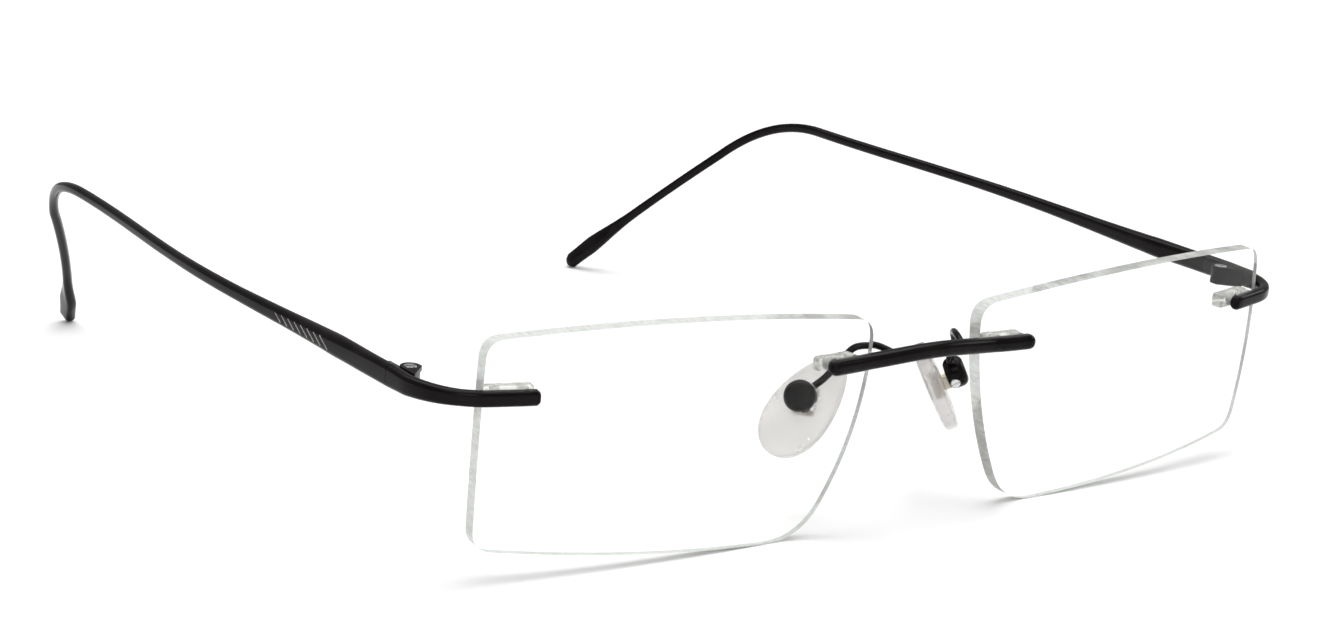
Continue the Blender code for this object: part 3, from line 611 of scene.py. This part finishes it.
def make_screw(name, profile, slot_depth, cutters, place):
    screw = turned(name, profile, ROUND_STEPS, cutters, place)
    top, width = profile[0][1], profile[2][0]
    slot = box("driver_slot_cutter", (-width - 1, -0.11, top - slot_depth), (width + 1, 0.11, top + 1),
               cutters, place)
    return combine(screw, slot, "DIFFERENCE")


def make_hinge_screw(cutters):
    profile = screw_profile(SCREW_RADIUS, SCREW_HEAD_RADIUS, SCREW_HEAD_DEPTH,
                            HINGE_HALF_HEIGHT - 0.02, -HINGE_HALF_HEIGHT + 0.05)
    return make_screw("hinge_screw_form", profile, 0.2, cutters, hinge_place())


def temple_route():
    """Straight back with a slight outward bow, round the ear bend and down to the tip."""
    frame = hinge_place()
    shoulder = [frame @ Vector((TEMPLE_OFFSET, SEAM_BACK + y, 0)) for y in (SEAM_GAP, 3.0, 6.0)]
    start = shoulder[-1]
    bend_start = TEMPLE_BEND + (start - TEMPLE_BEND).normalized() * TEMPLE_BEND_TRIM
    bend_end = TEMPLE_BEND + (TEMPLE_TIP - TEMPLE_BEND).normalized() * TEMPLE_BEND_TRIM
    run = []
    for i in range(1, 64):
        t = i / 64
        run.append(start.lerp(bend_start, t) + X_AXIS * TEMPLE_BOW * math.sin(math.pi * t) ** 2)
    hook = []
    for i in range(1, 25):
        t = i / 24
        hook.append(bend_end.lerp(TEMPLE_TIP, t) - X_AXIS * TIP_BOW * 4 * t * (1 - t))
    return shoulder + run + bezier(bend_start, TEMPLE_BEND, bend_end, 28) + hook


def make_temple(cutters):
    route = temple_route()
    end = route[-1]
    back = (route[-2] - end).normalized()
    route = route[:-1] + [end + back * d for d in (0.7, 0.25, 0.0)]
    run = distances(route)
    sections = []
    for distance in run:
        height, thickness = between(TEMPLE_STATIONS, distance)
        rounding = max(0.7 - (run[-1] - distance), 0)
        section = rounded_section(thickness - rounding * 0.5, height - rounding * 1.4)
        share = min(max(1 - (run[-1] - distance) / PADDLE_LENGTH, 0) * 2, 1)
        twist = Matrix.Rotation(PADDLE_TWIST * share, 2)
        sections.append([twist @ point for point in section])
    temple = sweep("temple_form", route, sections, cutters)
    combine(temple, facet_cutter(cutters), "DIFFERENCE")
    for i in range(SLASH_COUNT):
        y = SLASH_FIRST + SLASH_PITCH * i
        height = between(TEMPLE_STATIONS, y)[0]
        combine(temple, slash_cutter(y, height, cutters), "DIFFERENCE")
    return temple


def temple_face(distance, up):
    """A point of the temple's outer face, up as a share of half its height."""
    route = temple_route()
    run = distances(route)
    after = next(i for i, reached in enumerate(run) if reached > distance)
    share = (distance - run[after - 1]) / (run[after] - run[after - 1])
    height, thickness = between(TEMPLE_STATIONS, distance)
    centre = route[after - 1].lerp(route[after], share)
    return centre + X_AXIS * (thickness / 2) + Z_AXIS * (up * height / 2)


def facet_cutter(cutters):
    """Takes off the temple's lower outer edge beside the grooves."""
    low, high = temple_face(FACET_ENDS[0], -1), temple_face(FACET_ENDS[1], -1)
    along = (high - low).normalized()
    out = (X_AXIS - Z_AXIS - along * along.dot(X_AXIS - Z_AXIS)).normalized()
    turn = Matrix((along, out, along.cross(out))).transposed().to_4x4()
    place = Matrix.Translation(low) @ turn
    depth = FACET_WIDTH / 2
    return box("facet_cutter", (0, -depth, -3), ((high - low).length, 3, 3), cutters, place)


def slash_cutter(y, height, cutters):
    """A slanting groove in the temple's outer face; the grooves shorten with the temple."""
    face = temple_face(y, 0)
    size = SLASH_SIZE / 2
    length = size.y * (height - 0.5) / (JOINT_HEIGHT - 0.5)
    place = Matrix.Translation(face) @ Matrix.Rotation(HINGE_SLOPE + SLASH_ANGLE, 4, "X")
    return box("slash_cutter", (-size.x / 2, -length, -size.z / 2), (1, length, size.z / 2),
               cutters, place)


def placed(shape, place):
    shape.data.transform(place)
    return shape


def make_core(cutters, grow, name):
    """The stiff insert inside the pad: a plate with a tab that the screw goes through."""
    half = CORE_SIZE / 2 + Vector((grow, grow, grow))
    plate = box(name, (-half.x, -half.y + BOX_UP, -half.z), (half.x, half.y + BOX_UP, half.z),
                cutters)
    bevel(plate, 0.3, 4)
    tab = TAB_SIZE / 2 + Vector((grow, grow, 0))
    stem = box("tab_guide", (-tab.x, PAD_SCREW.y - tab.y, 0), (tab.x, PAD_SCREW.y + tab.y, PAD_SCREW.z),
               cutters)
    combine(plate, stem, "UNION")
    lug = rod("lug_guide", PAD_SCREW - X_AXIS * tab.x, PAD_SCREW + X_AXIS * tab.x,
              tab.y, cutters, Matrix(), 48)
    return combine(plate, lug, "UNION")


def make_pad_core(cutters):
    core = make_core(cutters, 0, "pad_core_form")
    hole = rod("tab_hole_cutter", PAD_SCREW - X_AXIS * 3, PAD_SCREW + X_AXIS * 3,
               PAD_SCREW_RADIUS + FIT_GAP, cutters)
    return placed(combine(core, hole, "DIFFERENCE"), pad_place())


def make_nose_pad(cutters):
    """A soft teardrop: a ball flattened and tapered towards its top, hollowed for the core."""
    bm = bmesh.new()
    bmesh.ops.create_uvsphere(bm, u_segments=72, v_segments=36, radius=1)
    for vert in bm.verts:
        x, y, z = vert.co.x, vert.co.y, vert.co.z
        around = math.hypot(x, y)
        spread = math.sin(math.pi / 2 * min(around, 1)) if around else 0
        scale = spread / around if around else 0
        taper = 1 - PAD_TAPER * y * scale
        thick = math.copysign(abs(z) ** 0.7, z)
        vert.co = (x * scale * taper * PAD_WIDTH / 2, y * scale * PAD_LENGTH / 2,
                   thick * PAD_THICKNESS / 2)
    bm.transform(Matrix.Rotation(-PAD_SLANT, 4, "Z"))
    pad = shape_object("nose_pad_form", bm, cutters)
    combine(pad, make_core(cutters, FIT_GAP, "core_cutter"), "DIFFERENCE")
    return placed(pad, pad_place())


def box_place():
    return pad_place() @ Matrix.Translation((0, BOX_UP, 0))


def make_pad_box(cutters):
    """The cup on the pad arm: two cheeks across the screw, closed at the outer end."""
    place = box_place()
    cup = rod("pad_box_form", (0, 0, BOX_FLOOR), (0, 0, BOX_FLOOR + BOX_DEPTH), BOX_RADIUS, cutters,
              place, 48)
    bevel(cup, 0.95, 8, 50)
    slot = box("box_slot_cutter", (-BOX_SLOT / 2, -4, 0), (BOX_SLOT / 2, 4, BOX_FLOOR + BOX_SLOT_DEPTH),
               cutters, place)
    combine(cup, slot, "DIFFERENCE")
    frame = pad_place()
    hole = rod("box_hole_cutter", PAD_SCREW - X_AXIS * 4, PAD_SCREW + X_AXIS * 4,
               PAD_SCREW_RADIUS + FIT_GAP, cutters, frame)
    combine(cup, hole, "DIFFERENCE")
    sink = rod("box_sink_cutter", PAD_SCREW - X_AXIS * 4, PAD_SCREW - X_AXIS * (BOX_RADIUS - 0.55),
               PAD_SCREW_HEAD + FIT_GAP, cutters, frame)
    return combine(cup, sink, "DIFFERENCE")


def make_pad_screw(cutters):
    top = BOX_RADIUS - 0.05
    profile = screw_profile(PAD_SCREW_RADIUS, PAD_SCREW_HEAD, 0.45, top, -BOX_RADIUS + 0.25)
    place = pad_place() @ Matrix.Translation(PAD_SCREW) @ Matrix.Rotation(math.radians(-90), 4, "Y")
    return make_screw("pad_screw_form", profile, 0.16, cutters, place)


def make_pad_arm(cutters):
    """The bent wire from the back of the bridge to the side of the pad box."""
    root = bridge_point(WIRE_START_X) + Vector((0.1, BRIDGE_RADIUS + FIT_GAP, 0))
    entry = Vector((-math.sin(WIRE_ENTRY), math.cos(WIRE_ENTRY), 0))
    middle = Vector((0, 0, BOX_FLOOR + BOX_DEPTH / 2))
    end = box_place() @ (middle + entry * (BOX_RADIUS + FIT_GAP))
    before = box_place() @ (middle + entry * (BOX_RADIUS + 1.7))
    route = smooth_route([root] + list(WIRE_ROUTE) + [before, end], 12)
    return tube("pad_arm_form", route, WIRE_RADIUS, cutters)


# ---------------------------------------------------------------- materials

# What the lens does to light: index of refraction, tint, and the mirror's share and falloff
GLASS_IOR = 1.5
GLASS_TINT = (0.985, 0.99, 0.985, 1)
MIRROR_SHARE = (0.008, 0.9)
MIRROR_FALLOFF = 5.0
# The ground edge: how much of it is opaque, and what shows through the rest
EDGE_OPAQUE_SHARE = (0.62, 0.92)
EDGE_TINT = (0.86, 0.89, 0.87, 1)
# The part of the noise's range that is spread over a finish's low and high values
NOISE_LOW, NOISE_HIGH = 0.3, 0.7


def new_material(name):
    material = bpy.data.materials.new(name)
    material.use_nodes = True
    return material, material.node_tree.nodes, material.node_tree.links


def noise_field(nodes, links, size_mm, detail=3.0, stretch=(1, 1, 1)):
    """Noise in the piece's own coordinates, with features about size_mm across."""
    where = nodes.new("ShaderNodeTexCoord")
    scale = nodes.new("ShaderNodeMapping")
    scale.inputs["Scale"].default_value = [k / (size_mm * MM) for k in stretch]
    links.new(where.outputs["Object"], scale.inputs["Vector"])
    noise = nodes.new("ShaderNodeTexNoise")
    noise.inputs["Scale"].default_value = 1.0
    noise.inputs["Detail"].default_value = detail
    links.new(scale.outputs["Vector"], noise.inputs["Vector"])
    return noise.outputs["Fac"]


def spread(nodes, links, source, low, high):
    """The noise's middle range mapped to low..high."""
    ramp = nodes.new("ShaderNodeMapRange")
    ramp.inputs["From Min"].default_value = NOISE_LOW
    ramp.inputs["From Max"].default_value = NOISE_HIGH
    ramp.inputs["To Min"].default_value = low
    ramp.inputs["To Max"].default_value = high
    links.new(source, ramp.inputs["Value"])
    return ramp.outputs["Result"]


def tint(nodes, links, source, low, high):
    """The noise's middle range mapped to a colour from low to high."""
    ramp = nodes.new("ShaderNodeValToRGB")
    ramp.color_ramp.elements[0].position = NOISE_LOW
    ramp.color_ramp.elements[1].position = NOISE_HIGH
    ramp.color_ramp.elements[0].color = (*low, 1)
    ramp.color_ramp.elements[1].color = (*high, 1)
    links.new(source, ramp.inputs["Fac"])
    return ramp.outputs["Color"]


def add_bump(nodes, links, source, height_mm, shader):
    """Relief of up to height_mm from a noise field."""
    bump = nodes.new("ShaderNodeBump")
    bump.inputs["Strength"].default_value = 1.0
    bump.inputs["Distance"].default_value = height_mm * MM
    links.new(source, bump.inputs["Height"])
    links.new(bump.outputs["Normal"], shader.inputs["Normal"])


def plain_finish(name, low, high, rough, grain_mm, bump_mm, stretch=(1, 1, 1), **sockets):
    """A Principled finish whose colour, roughness and surface vary at real scale."""
    material, nodes, links = new_material(name)
    shader = nodes["Principled BSDF"]
    broad = noise_field(nodes, links, grain_mm * 8, 2.0, stretch)
    fine = noise_field(nodes, links, grain_mm, 4.0, stretch)
    links.new(tint(nodes, links, broad, low, high), shader.inputs["Base Color"])
    links.new(spread(nodes, links, broad, *rough), shader.inputs["Roughness"])
    add_bump(nodes, links, fine, bump_mm, shader)
    for socket, value in sockets.items():
        shader.inputs[socket.replace("_", " ")].default_value = value
    return material


def clear_lens():
    """A polished uncoated lens: what is behind it shows through, and it mirrors a little."""
    material, nodes, links = new_material("lens_polished_face")
    nodes.remove(nodes["Principled BSDF"])
    output = nodes["Material Output"]
    bend = nodes.new("ShaderNodeBsdfRefraction")
    bend.inputs["Color"].default_value = GLASS_TINT
    bend.inputs["Roughness"].default_value = 0.0
    bend.inputs["IOR"].default_value = GLASS_IOR
    straight = nodes.new("ShaderNodeBsdfTransparent")
    straight.inputs["Color"].default_value = GLASS_TINT
    path = nodes.new("ShaderNodeLightPath")
    through = nodes.new("ShaderNodeMixShader")
    links.new(path.outputs["Is Shadow Ray"], through.inputs["Fac"])
    links.new(bend.outputs["BSDF"], through.inputs[1])
    links.new(straight.outputs["BSDF"], through.inputs[2])
    mirror = nodes.new("ShaderNodeBsdfGlossy")
    mirror.inputs["Color"].default_value = (1, 1, 1, 1)
    smear = noise_field(nodes, links, 9.0, 4.0)
    links.new(spread(nodes, links, smear, 0.01, 0.05), mirror.inputs["Roughness"])
    facing = nodes.new("ShaderNodeLayerWeight")
    facing.inputs["Blend"].default_value = 0.5
    steep = nodes.new("ShaderNodeMath")
    steep.operation = "POWER"
    steep.inputs[1].default_value = MIRROR_FALLOFF
    links.new(facing.outputs["Facing"], steep.inputs[0])
    share = nodes.new("ShaderNodeMapRange")
    share.inputs["To Min"].default_value = MIRROR_SHARE[0]
    share.inputs["To Max"].default_value = MIRROR_SHARE[1]
    links.new(steep.outputs["Value"], share.inputs["Value"])
    mix = nodes.new("ShaderNodeMixShader")
    links.new(share.outputs["Result"], mix.inputs["Fac"])
    links.new(through.outputs["Shader"], mix.inputs[1])
    links.new(mirror.outputs["BSDF"], mix.inputs[2])
    links.new(mix.outputs["Shader"], output.inputs["Surface"])
    return material


def ground_edge():
    """The lens edge as the edging wheel leaves it: matt, pale, with fine grinding marks."""
    material, nodes, links = new_material("lens_ground_edge")
    shader = nodes["Principled BSDF"]
    output = nodes["Material Output"]
    marks = noise_field(nodes, links, 0.35, 4.0, (1, 0.25, 1))
    patches = noise_field(nodes, links, 3.0, 3.0)
    links.new(tint(nodes, links, marks, (0.5, 0.51, 0.485), (0.7, 0.71, 0.685)),
              shader.inputs["Base Color"])
    links.new(spread(nodes, links, patches, 0.25, 0.5), shader.inputs["Roughness"])
    add_bump(nodes, links, marks, 0.015, shader)
    shader.inputs["Specular IOR Level"].default_value = 0.2
    through = nodes.new("ShaderNodeBsdfTransparent")
    through.inputs["Color"].default_value = EDGE_TINT
    mix = nodes.new("ShaderNodeMixShader")
    links.new(spread(nodes, links, patches, *EDGE_OPAQUE_SHARE), mix.inputs["Fac"])
    links.new(through.outputs["BSDF"], mix.inputs[1])
    links.new(shader.outputs["BSDF"], mix.inputs[2])
    links.new(mix.outputs["Shader"], output.inputs["Surface"])
    return material


def make_looks():
    """Every finish by its slot name: low and high colour, roughness, grain and relief in mm."""
    return {
        "black_lacquer": plain_finish(
            "black_lacquer_gloss", (0.004, 0.003, 0.003), (0.009, 0.007, 0.007), (0.12, 0.22), 0.5,
            0.002, IOR=1.3, Specular_IOR_Level=0.2),
        "clear_plastic": plain_finish(
            "clear_plug_plastic", (0.84, 0.84, 0.79), (0.97, 0.97, 0.95), (0.12, 0.3), 0.6, 0.004,
            IOR=1.42, Transmission_Weight=0.72),
        "clear_silicone": plain_finish(
            "clear_pad_silicone", (0.72, 0.70, 0.69), (0.83, 0.81, 0.80), (0.16, 0.3), 0.5, 0.003,
            IOR=1.3, Transmission_Weight=0.7),
        "insert_plastic": plain_finish(
            "pad_insert_plastic", (0.62, 0.52, 0.3), (0.9, 0.86, 0.74), (0.35, 0.5), 0.18, 0.004,
            IOR=1.46),
        "screw_steel": plain_finish(
            "bright_screw_steel", (0.55, 0.55, 0.56), (0.72, 0.72, 0.73), (0.16, 0.34), 0.12, 0.002,
            (1, 6, 1), Metallic=1.0),
        "slash_paint": plain_finish(
            "pale_groove_paint", (0.27, 0.26, 0.255), (0.42, 0.41, 0.405), (0.3, 0.5), 0.12, 0.003),
        "lens_glass": clear_lens(),
        "lens_edge": ground_edge(),
    }


# ---------------------------------------------------------------- pieces in the row frame

SHARP_ANGLE = math.radians(32)
# Groove filling: how far it stays inside the groove, at the ends, below the face and at the sides
PAINT_END_GAP = 0.02
PAINT_SINK = 0.03
PAINT_SIDE_GAP = 0.01


def stand_place():
    """The front frame in the row frame: leant and raised on to the ground, centred."""
    lean = Matrix.Rotation(GROUND_LEAN, 4, "X")
    place = Matrix.Translation((0, GROUND_BACK, GROUND_HEIGHT)) @ lean
    return Matrix.Scale(MM, 4) @ place


def put(shape, name, side, looks_used, body, node):
    """Place a piece in the row frame, mirrored for side -1, and tie it to its CAD body."""
    bm = bmesh.new()
    bm.from_mesh(shape.data)
    if side < 0:
        bm.transform(Matrix.Scale(-1, 4, X_AXIS))
        bmesh.ops.reverse_faces(bm, faces=bm.faces)
    bm.transform(stand_place())
    mesh = bpy.data.meshes.new(name)
    bm.to_mesh(mesh)
    bm.free()
    for look in looks_used:
        mesh.materials.append(look)
    mesh.shade_smooth()
    mesh.set_sharp_from_angle(angle=SHARP_ANGLE)
    if len(looks_used) == 2:
        polish_lens(mesh, side)
    piece = bpy.data.objects.new(name, mesh)
    bpy.context.scene.collection.objects.link(piece)
    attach(piece, body)
    if node:
        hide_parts(node)
    return piece


def mark_lens_edge(lens):
    """Second material slot on the faces round the rim and in the drilled holes."""
    through = lens_place().to_3x3() @ Y_AXIS
    for face in lens.data.polygons:
        face.material_index = 1 if abs(face.normal.dot(through)) < 0.8 else 0


def polish_lens(mesh, side):
    """Exact sphere normals on the two polished faces, so that sight lines pass unbroken."""
    place = stand_place() @ Matrix.Scale(side, 4, X_AXIS) @ lens_place()
    inverse, turn = place.inverted(), place.to_3x3()
    front_centre = Vector((0, LENS_FRONT_RADIUS, 0))
    back_centre = Vector((0, LENS_THICKNESS + LENS_BACK_RADIUS, 0))
    normals = []
    for face in mesh.polygons:
        faces_out = (inverse.to_3x3() @ face.normal).y < 0
        for index in face.vertices:
            spot = inverse @ mesh.vertices[index].co
            if face.material_index == 1:
                normal = face.normal.copy()
            elif faces_out:
                normal = turn @ (spot - front_centre)
            else:
                normal = turn @ (back_centre - spot)
            normals.append(normal.normalized())
    mesh.normals_split_custom_set(normals)


def make_slash_paint(cutters):
    """The pale filling in the temple's grooves, a hair below the surface."""
    joined = bmesh.new()
    for i in range(SLASH_COUNT):
        y = SLASH_FIRST + SLASH_PITCH * i
        bar = slash_bar(y, between(TEMPLE_STATIONS, y)[0], cutters)
        joined.from_mesh(bar.data)
    return shape_object("slash_paint_form", joined, cutters)


def slash_bar(y, height, cutters):
    """One bar of groove filling, at a distance y along the temple."""
    centre = temple_face(y, 0)
    size = SLASH_SIZE / 2
    length = size.y * (height - 0.5) / (JOINT_HEIGHT - 0.5) - PAINT_END_GAP
    place = Matrix.Translation(centre) @ Matrix.Rotation(HINGE_SLOPE + SLASH_ANGLE, 4, "X")
    bar = box("slash_bar", (-size.x / 2 - 0.02, -length, -size.z / 2 + PAINT_SIDE_GAP),
              (-PAINT_SINK, length, size.z / 2 - PAINT_SIDE_GAP), cutters, place)
    return bevel(bar, 0.02, 2)


def build(looks):
    """Shape every piece once, put it on both sides, and clear the guides away."""
    cutters = bpy.data.collections.new("guides")
    bpy.context.scene.collection.children.link(cutters)
    lens = make_lens(cutters)
    mark_lens_edge(lens)
    front = [
        (lens, "lens", "lens_glass"),
        (make_lens_plug(NASAL_FIXING, NASAL_PLUG, cutters), "lens_plug_nasal", "clear_plastic"),
        (make_lens_plug(TEMPORAL_FIXING, TEMPORAL_PLUG, cutters), "lens_plug_temporal", "clear_plastic"),
        (make_endpiece(cutters), "endpiece", "black_lacquer"),
        (make_hinge_block(cutters), "hinge_block", "black_lacquer"),
        (make_hinge_screw(cutters), "hinge_screw", "screw_steel"),
        (make_pad_arm(cutters), "pad_arm", "black_lacquer"),
        (make_pad_box(cutters), "pad_box", "black_lacquer"),
        (make_pad_screw(cutters), "pad_screw", "screw_steel"),
    ]
    temple = [
        (make_hinge_leaf(cutters), "hinge_leaf", "black_lacquer"),
        (make_temple(cutters), "temple", "black_lacquer"),
    ]
    pad = [
        (make_pad_core(cutters), "pad_core", "insert_plastic"),
        (make_nose_pad(cutters), "nose_pad", "clear_silicone"),
    ]
    paint = make_slash_paint(cutters)
    put(make_bridge(cutters), "bridge_bar", 1, [looks["black_lacquer"]], "front", "bridge")
    for word, side in (("left", 1), ("right", -1)):
        groups = ((front, "front"), (temple, f"temple_arm_{word}"), (pad, f"nose_pad_unit_{word}"))
        for pieces, body in groups:
            for shape, name, slot in pieces:
                used = [looks[slot]] + ([looks["lens_edge"]] if name == "lens" else [])
                put(shape, f"fine_{name}_{word}", side, used, body, f"{name}_{word}")
        put(paint, f"groove_paint_{word}", side, [looks["slash_paint"]], f"temple_arm_{word}",
            None)
    for guide in list(cutters.objects):
        bpy.data.objects.remove(guide, do_unlink=True)
    bpy.data.collections.remove(cutters)


# ---------------------------------------------------------------- floor, light and camera

# Lengths in metres, in the row frame
FLOOR_HALF_WIDTH = 0.6
FLOOR_DROP = 0.00005
WORLD_GLOSS_STRENGTH = 0.33
# Soft lights: name, place, size and power in watts
SOFTBOXES = [
    ("overhead_softbox", (0.1, 0.2, 1.3), (1.6, 1.6), 20),
    ("front_softbox", (-0.9, -1.1, 0.8), (0.9, 0.6), 5),
    ("side_softbox", (1.2, -0.3, 0.7), (0.8, 0.5), 4),
]
CAMERA_PLACE = (-0.23174, -0.346346, 0.10556)
# Rows of the camera's turn: its right, up and back directions are the columns
CAMERA_TURN = (
    (0.824219, 0.100191, -0.557337),
    (-0.565411, 0.199808, -0.800241),
    (0.031183, 0.9747, 0.221335),
)
CAMERA_LENS = 82.413
CAMERA_SHIFT = (0.013251, 0.001446)


def add_floor():
    """A plain pale floor, a hair below the object's lowest points."""
    bm = bmesh.new()
    bmesh.ops.create_grid(bm, x_segments=1, y_segments=1, size=FLOOR_HALF_WIDTH)
    mesh = bpy.data.meshes.new("studio_floor")
    bm.to_mesh(mesh)
    bm.free()
    floor = bpy.data.objects.new("studio_floor", mesh)
    bpy.context.scene.collection.objects.link(floor)
    floor.location.z = -FLOOR_DROP
    mesh.materials.append(plain_finish("studio_floor_white", (0.9, 0.9, 0.9), (0.93, 0.93, 0.93),
                                       (0.85, 0.95), 3.0, 0.0, Specular_IOR_Level=0.1))


def add_area(name, spot, size, power):
    """A soft rectangular light aimed at the middle of the object."""
    light = bpy.data.lights.new(name, "AREA")
    light.shape = "RECTANGLE"
    light.size, light.size_y = size
    light.energy = power
    lamp = bpy.data.objects.new(name, light)
    lamp.location = spot
    lamp.rotation_euler = (-Vector(spot)).to_track_quat("-Z", "Y").to_euler()
    bpy.context.scene.collection.objects.link(lamp)


def add_world():
    """White where it is looked at, dim where it is mirrored, so that gloss stays deep."""
    world = bpy.data.worlds.new("studio_world")
    bpy.context.scene.world = world
    world.use_nodes = True
    nodes, links = world.node_tree.nodes, world.node_tree.links
    dim = nodes["Background"]
    dim.inputs["Color"].default_value = (1, 1, 1, 1)
    dim.inputs["Strength"].default_value = WORLD_GLOSS_STRENGTH
    bright = nodes.new("ShaderNodeBackground")
    bright.inputs["Color"].default_value = (1, 1, 1, 1)
    path = nodes.new("ShaderNodeLightPath")
    mix = nodes.new("ShaderNodeMixShader")
    seen = nodes.new("ShaderNodeMath")
    seen.operation = "MAXIMUM"
    links.new(path.outputs["Is Camera Ray"], seen.inputs[0])
    links.new(path.outputs["Is Transmission Ray"], seen.inputs[1])
    links.new(seen.outputs["Value"], mix.inputs["Fac"])
    links.new(dim.outputs["Background"], mix.inputs[1])
    links.new(bright.outputs["Background"], mix.inputs[2])
    links.new(mix.outputs["Shader"], nodes["World Output"].inputs["Surface"])


def add_camera():
    camera = bpy.data.cameras.new("view_camera")
    camera.sensor_fit = "HORIZONTAL"
    camera.sensor_width = 36.0
    camera.lens = CAMERA_LENS
    camera.shift_x, camera.shift_y = CAMERA_SHIFT
    camera.clip_start = 0.01
    camera.clip_end = 20.0
    holder = bpy.data.objects.new("view_camera", camera)
    holder.matrix_world = Matrix.Translation(CAMERA_PLACE) @ Matrix(CAMERA_TURN).to_4x4()
    bpy.context.scene.collection.objects.link(holder)
    bpy.context.scene.camera = holder


def main():
    bpy.context.scene.view_settings.view_transform = "Standard"
    build(make_looks())
    add_floor()
    add_world()
    for name, spot, size, power in SOFTBOXES:
        add_area(name, spot, size, power)
    add_camera()


main()
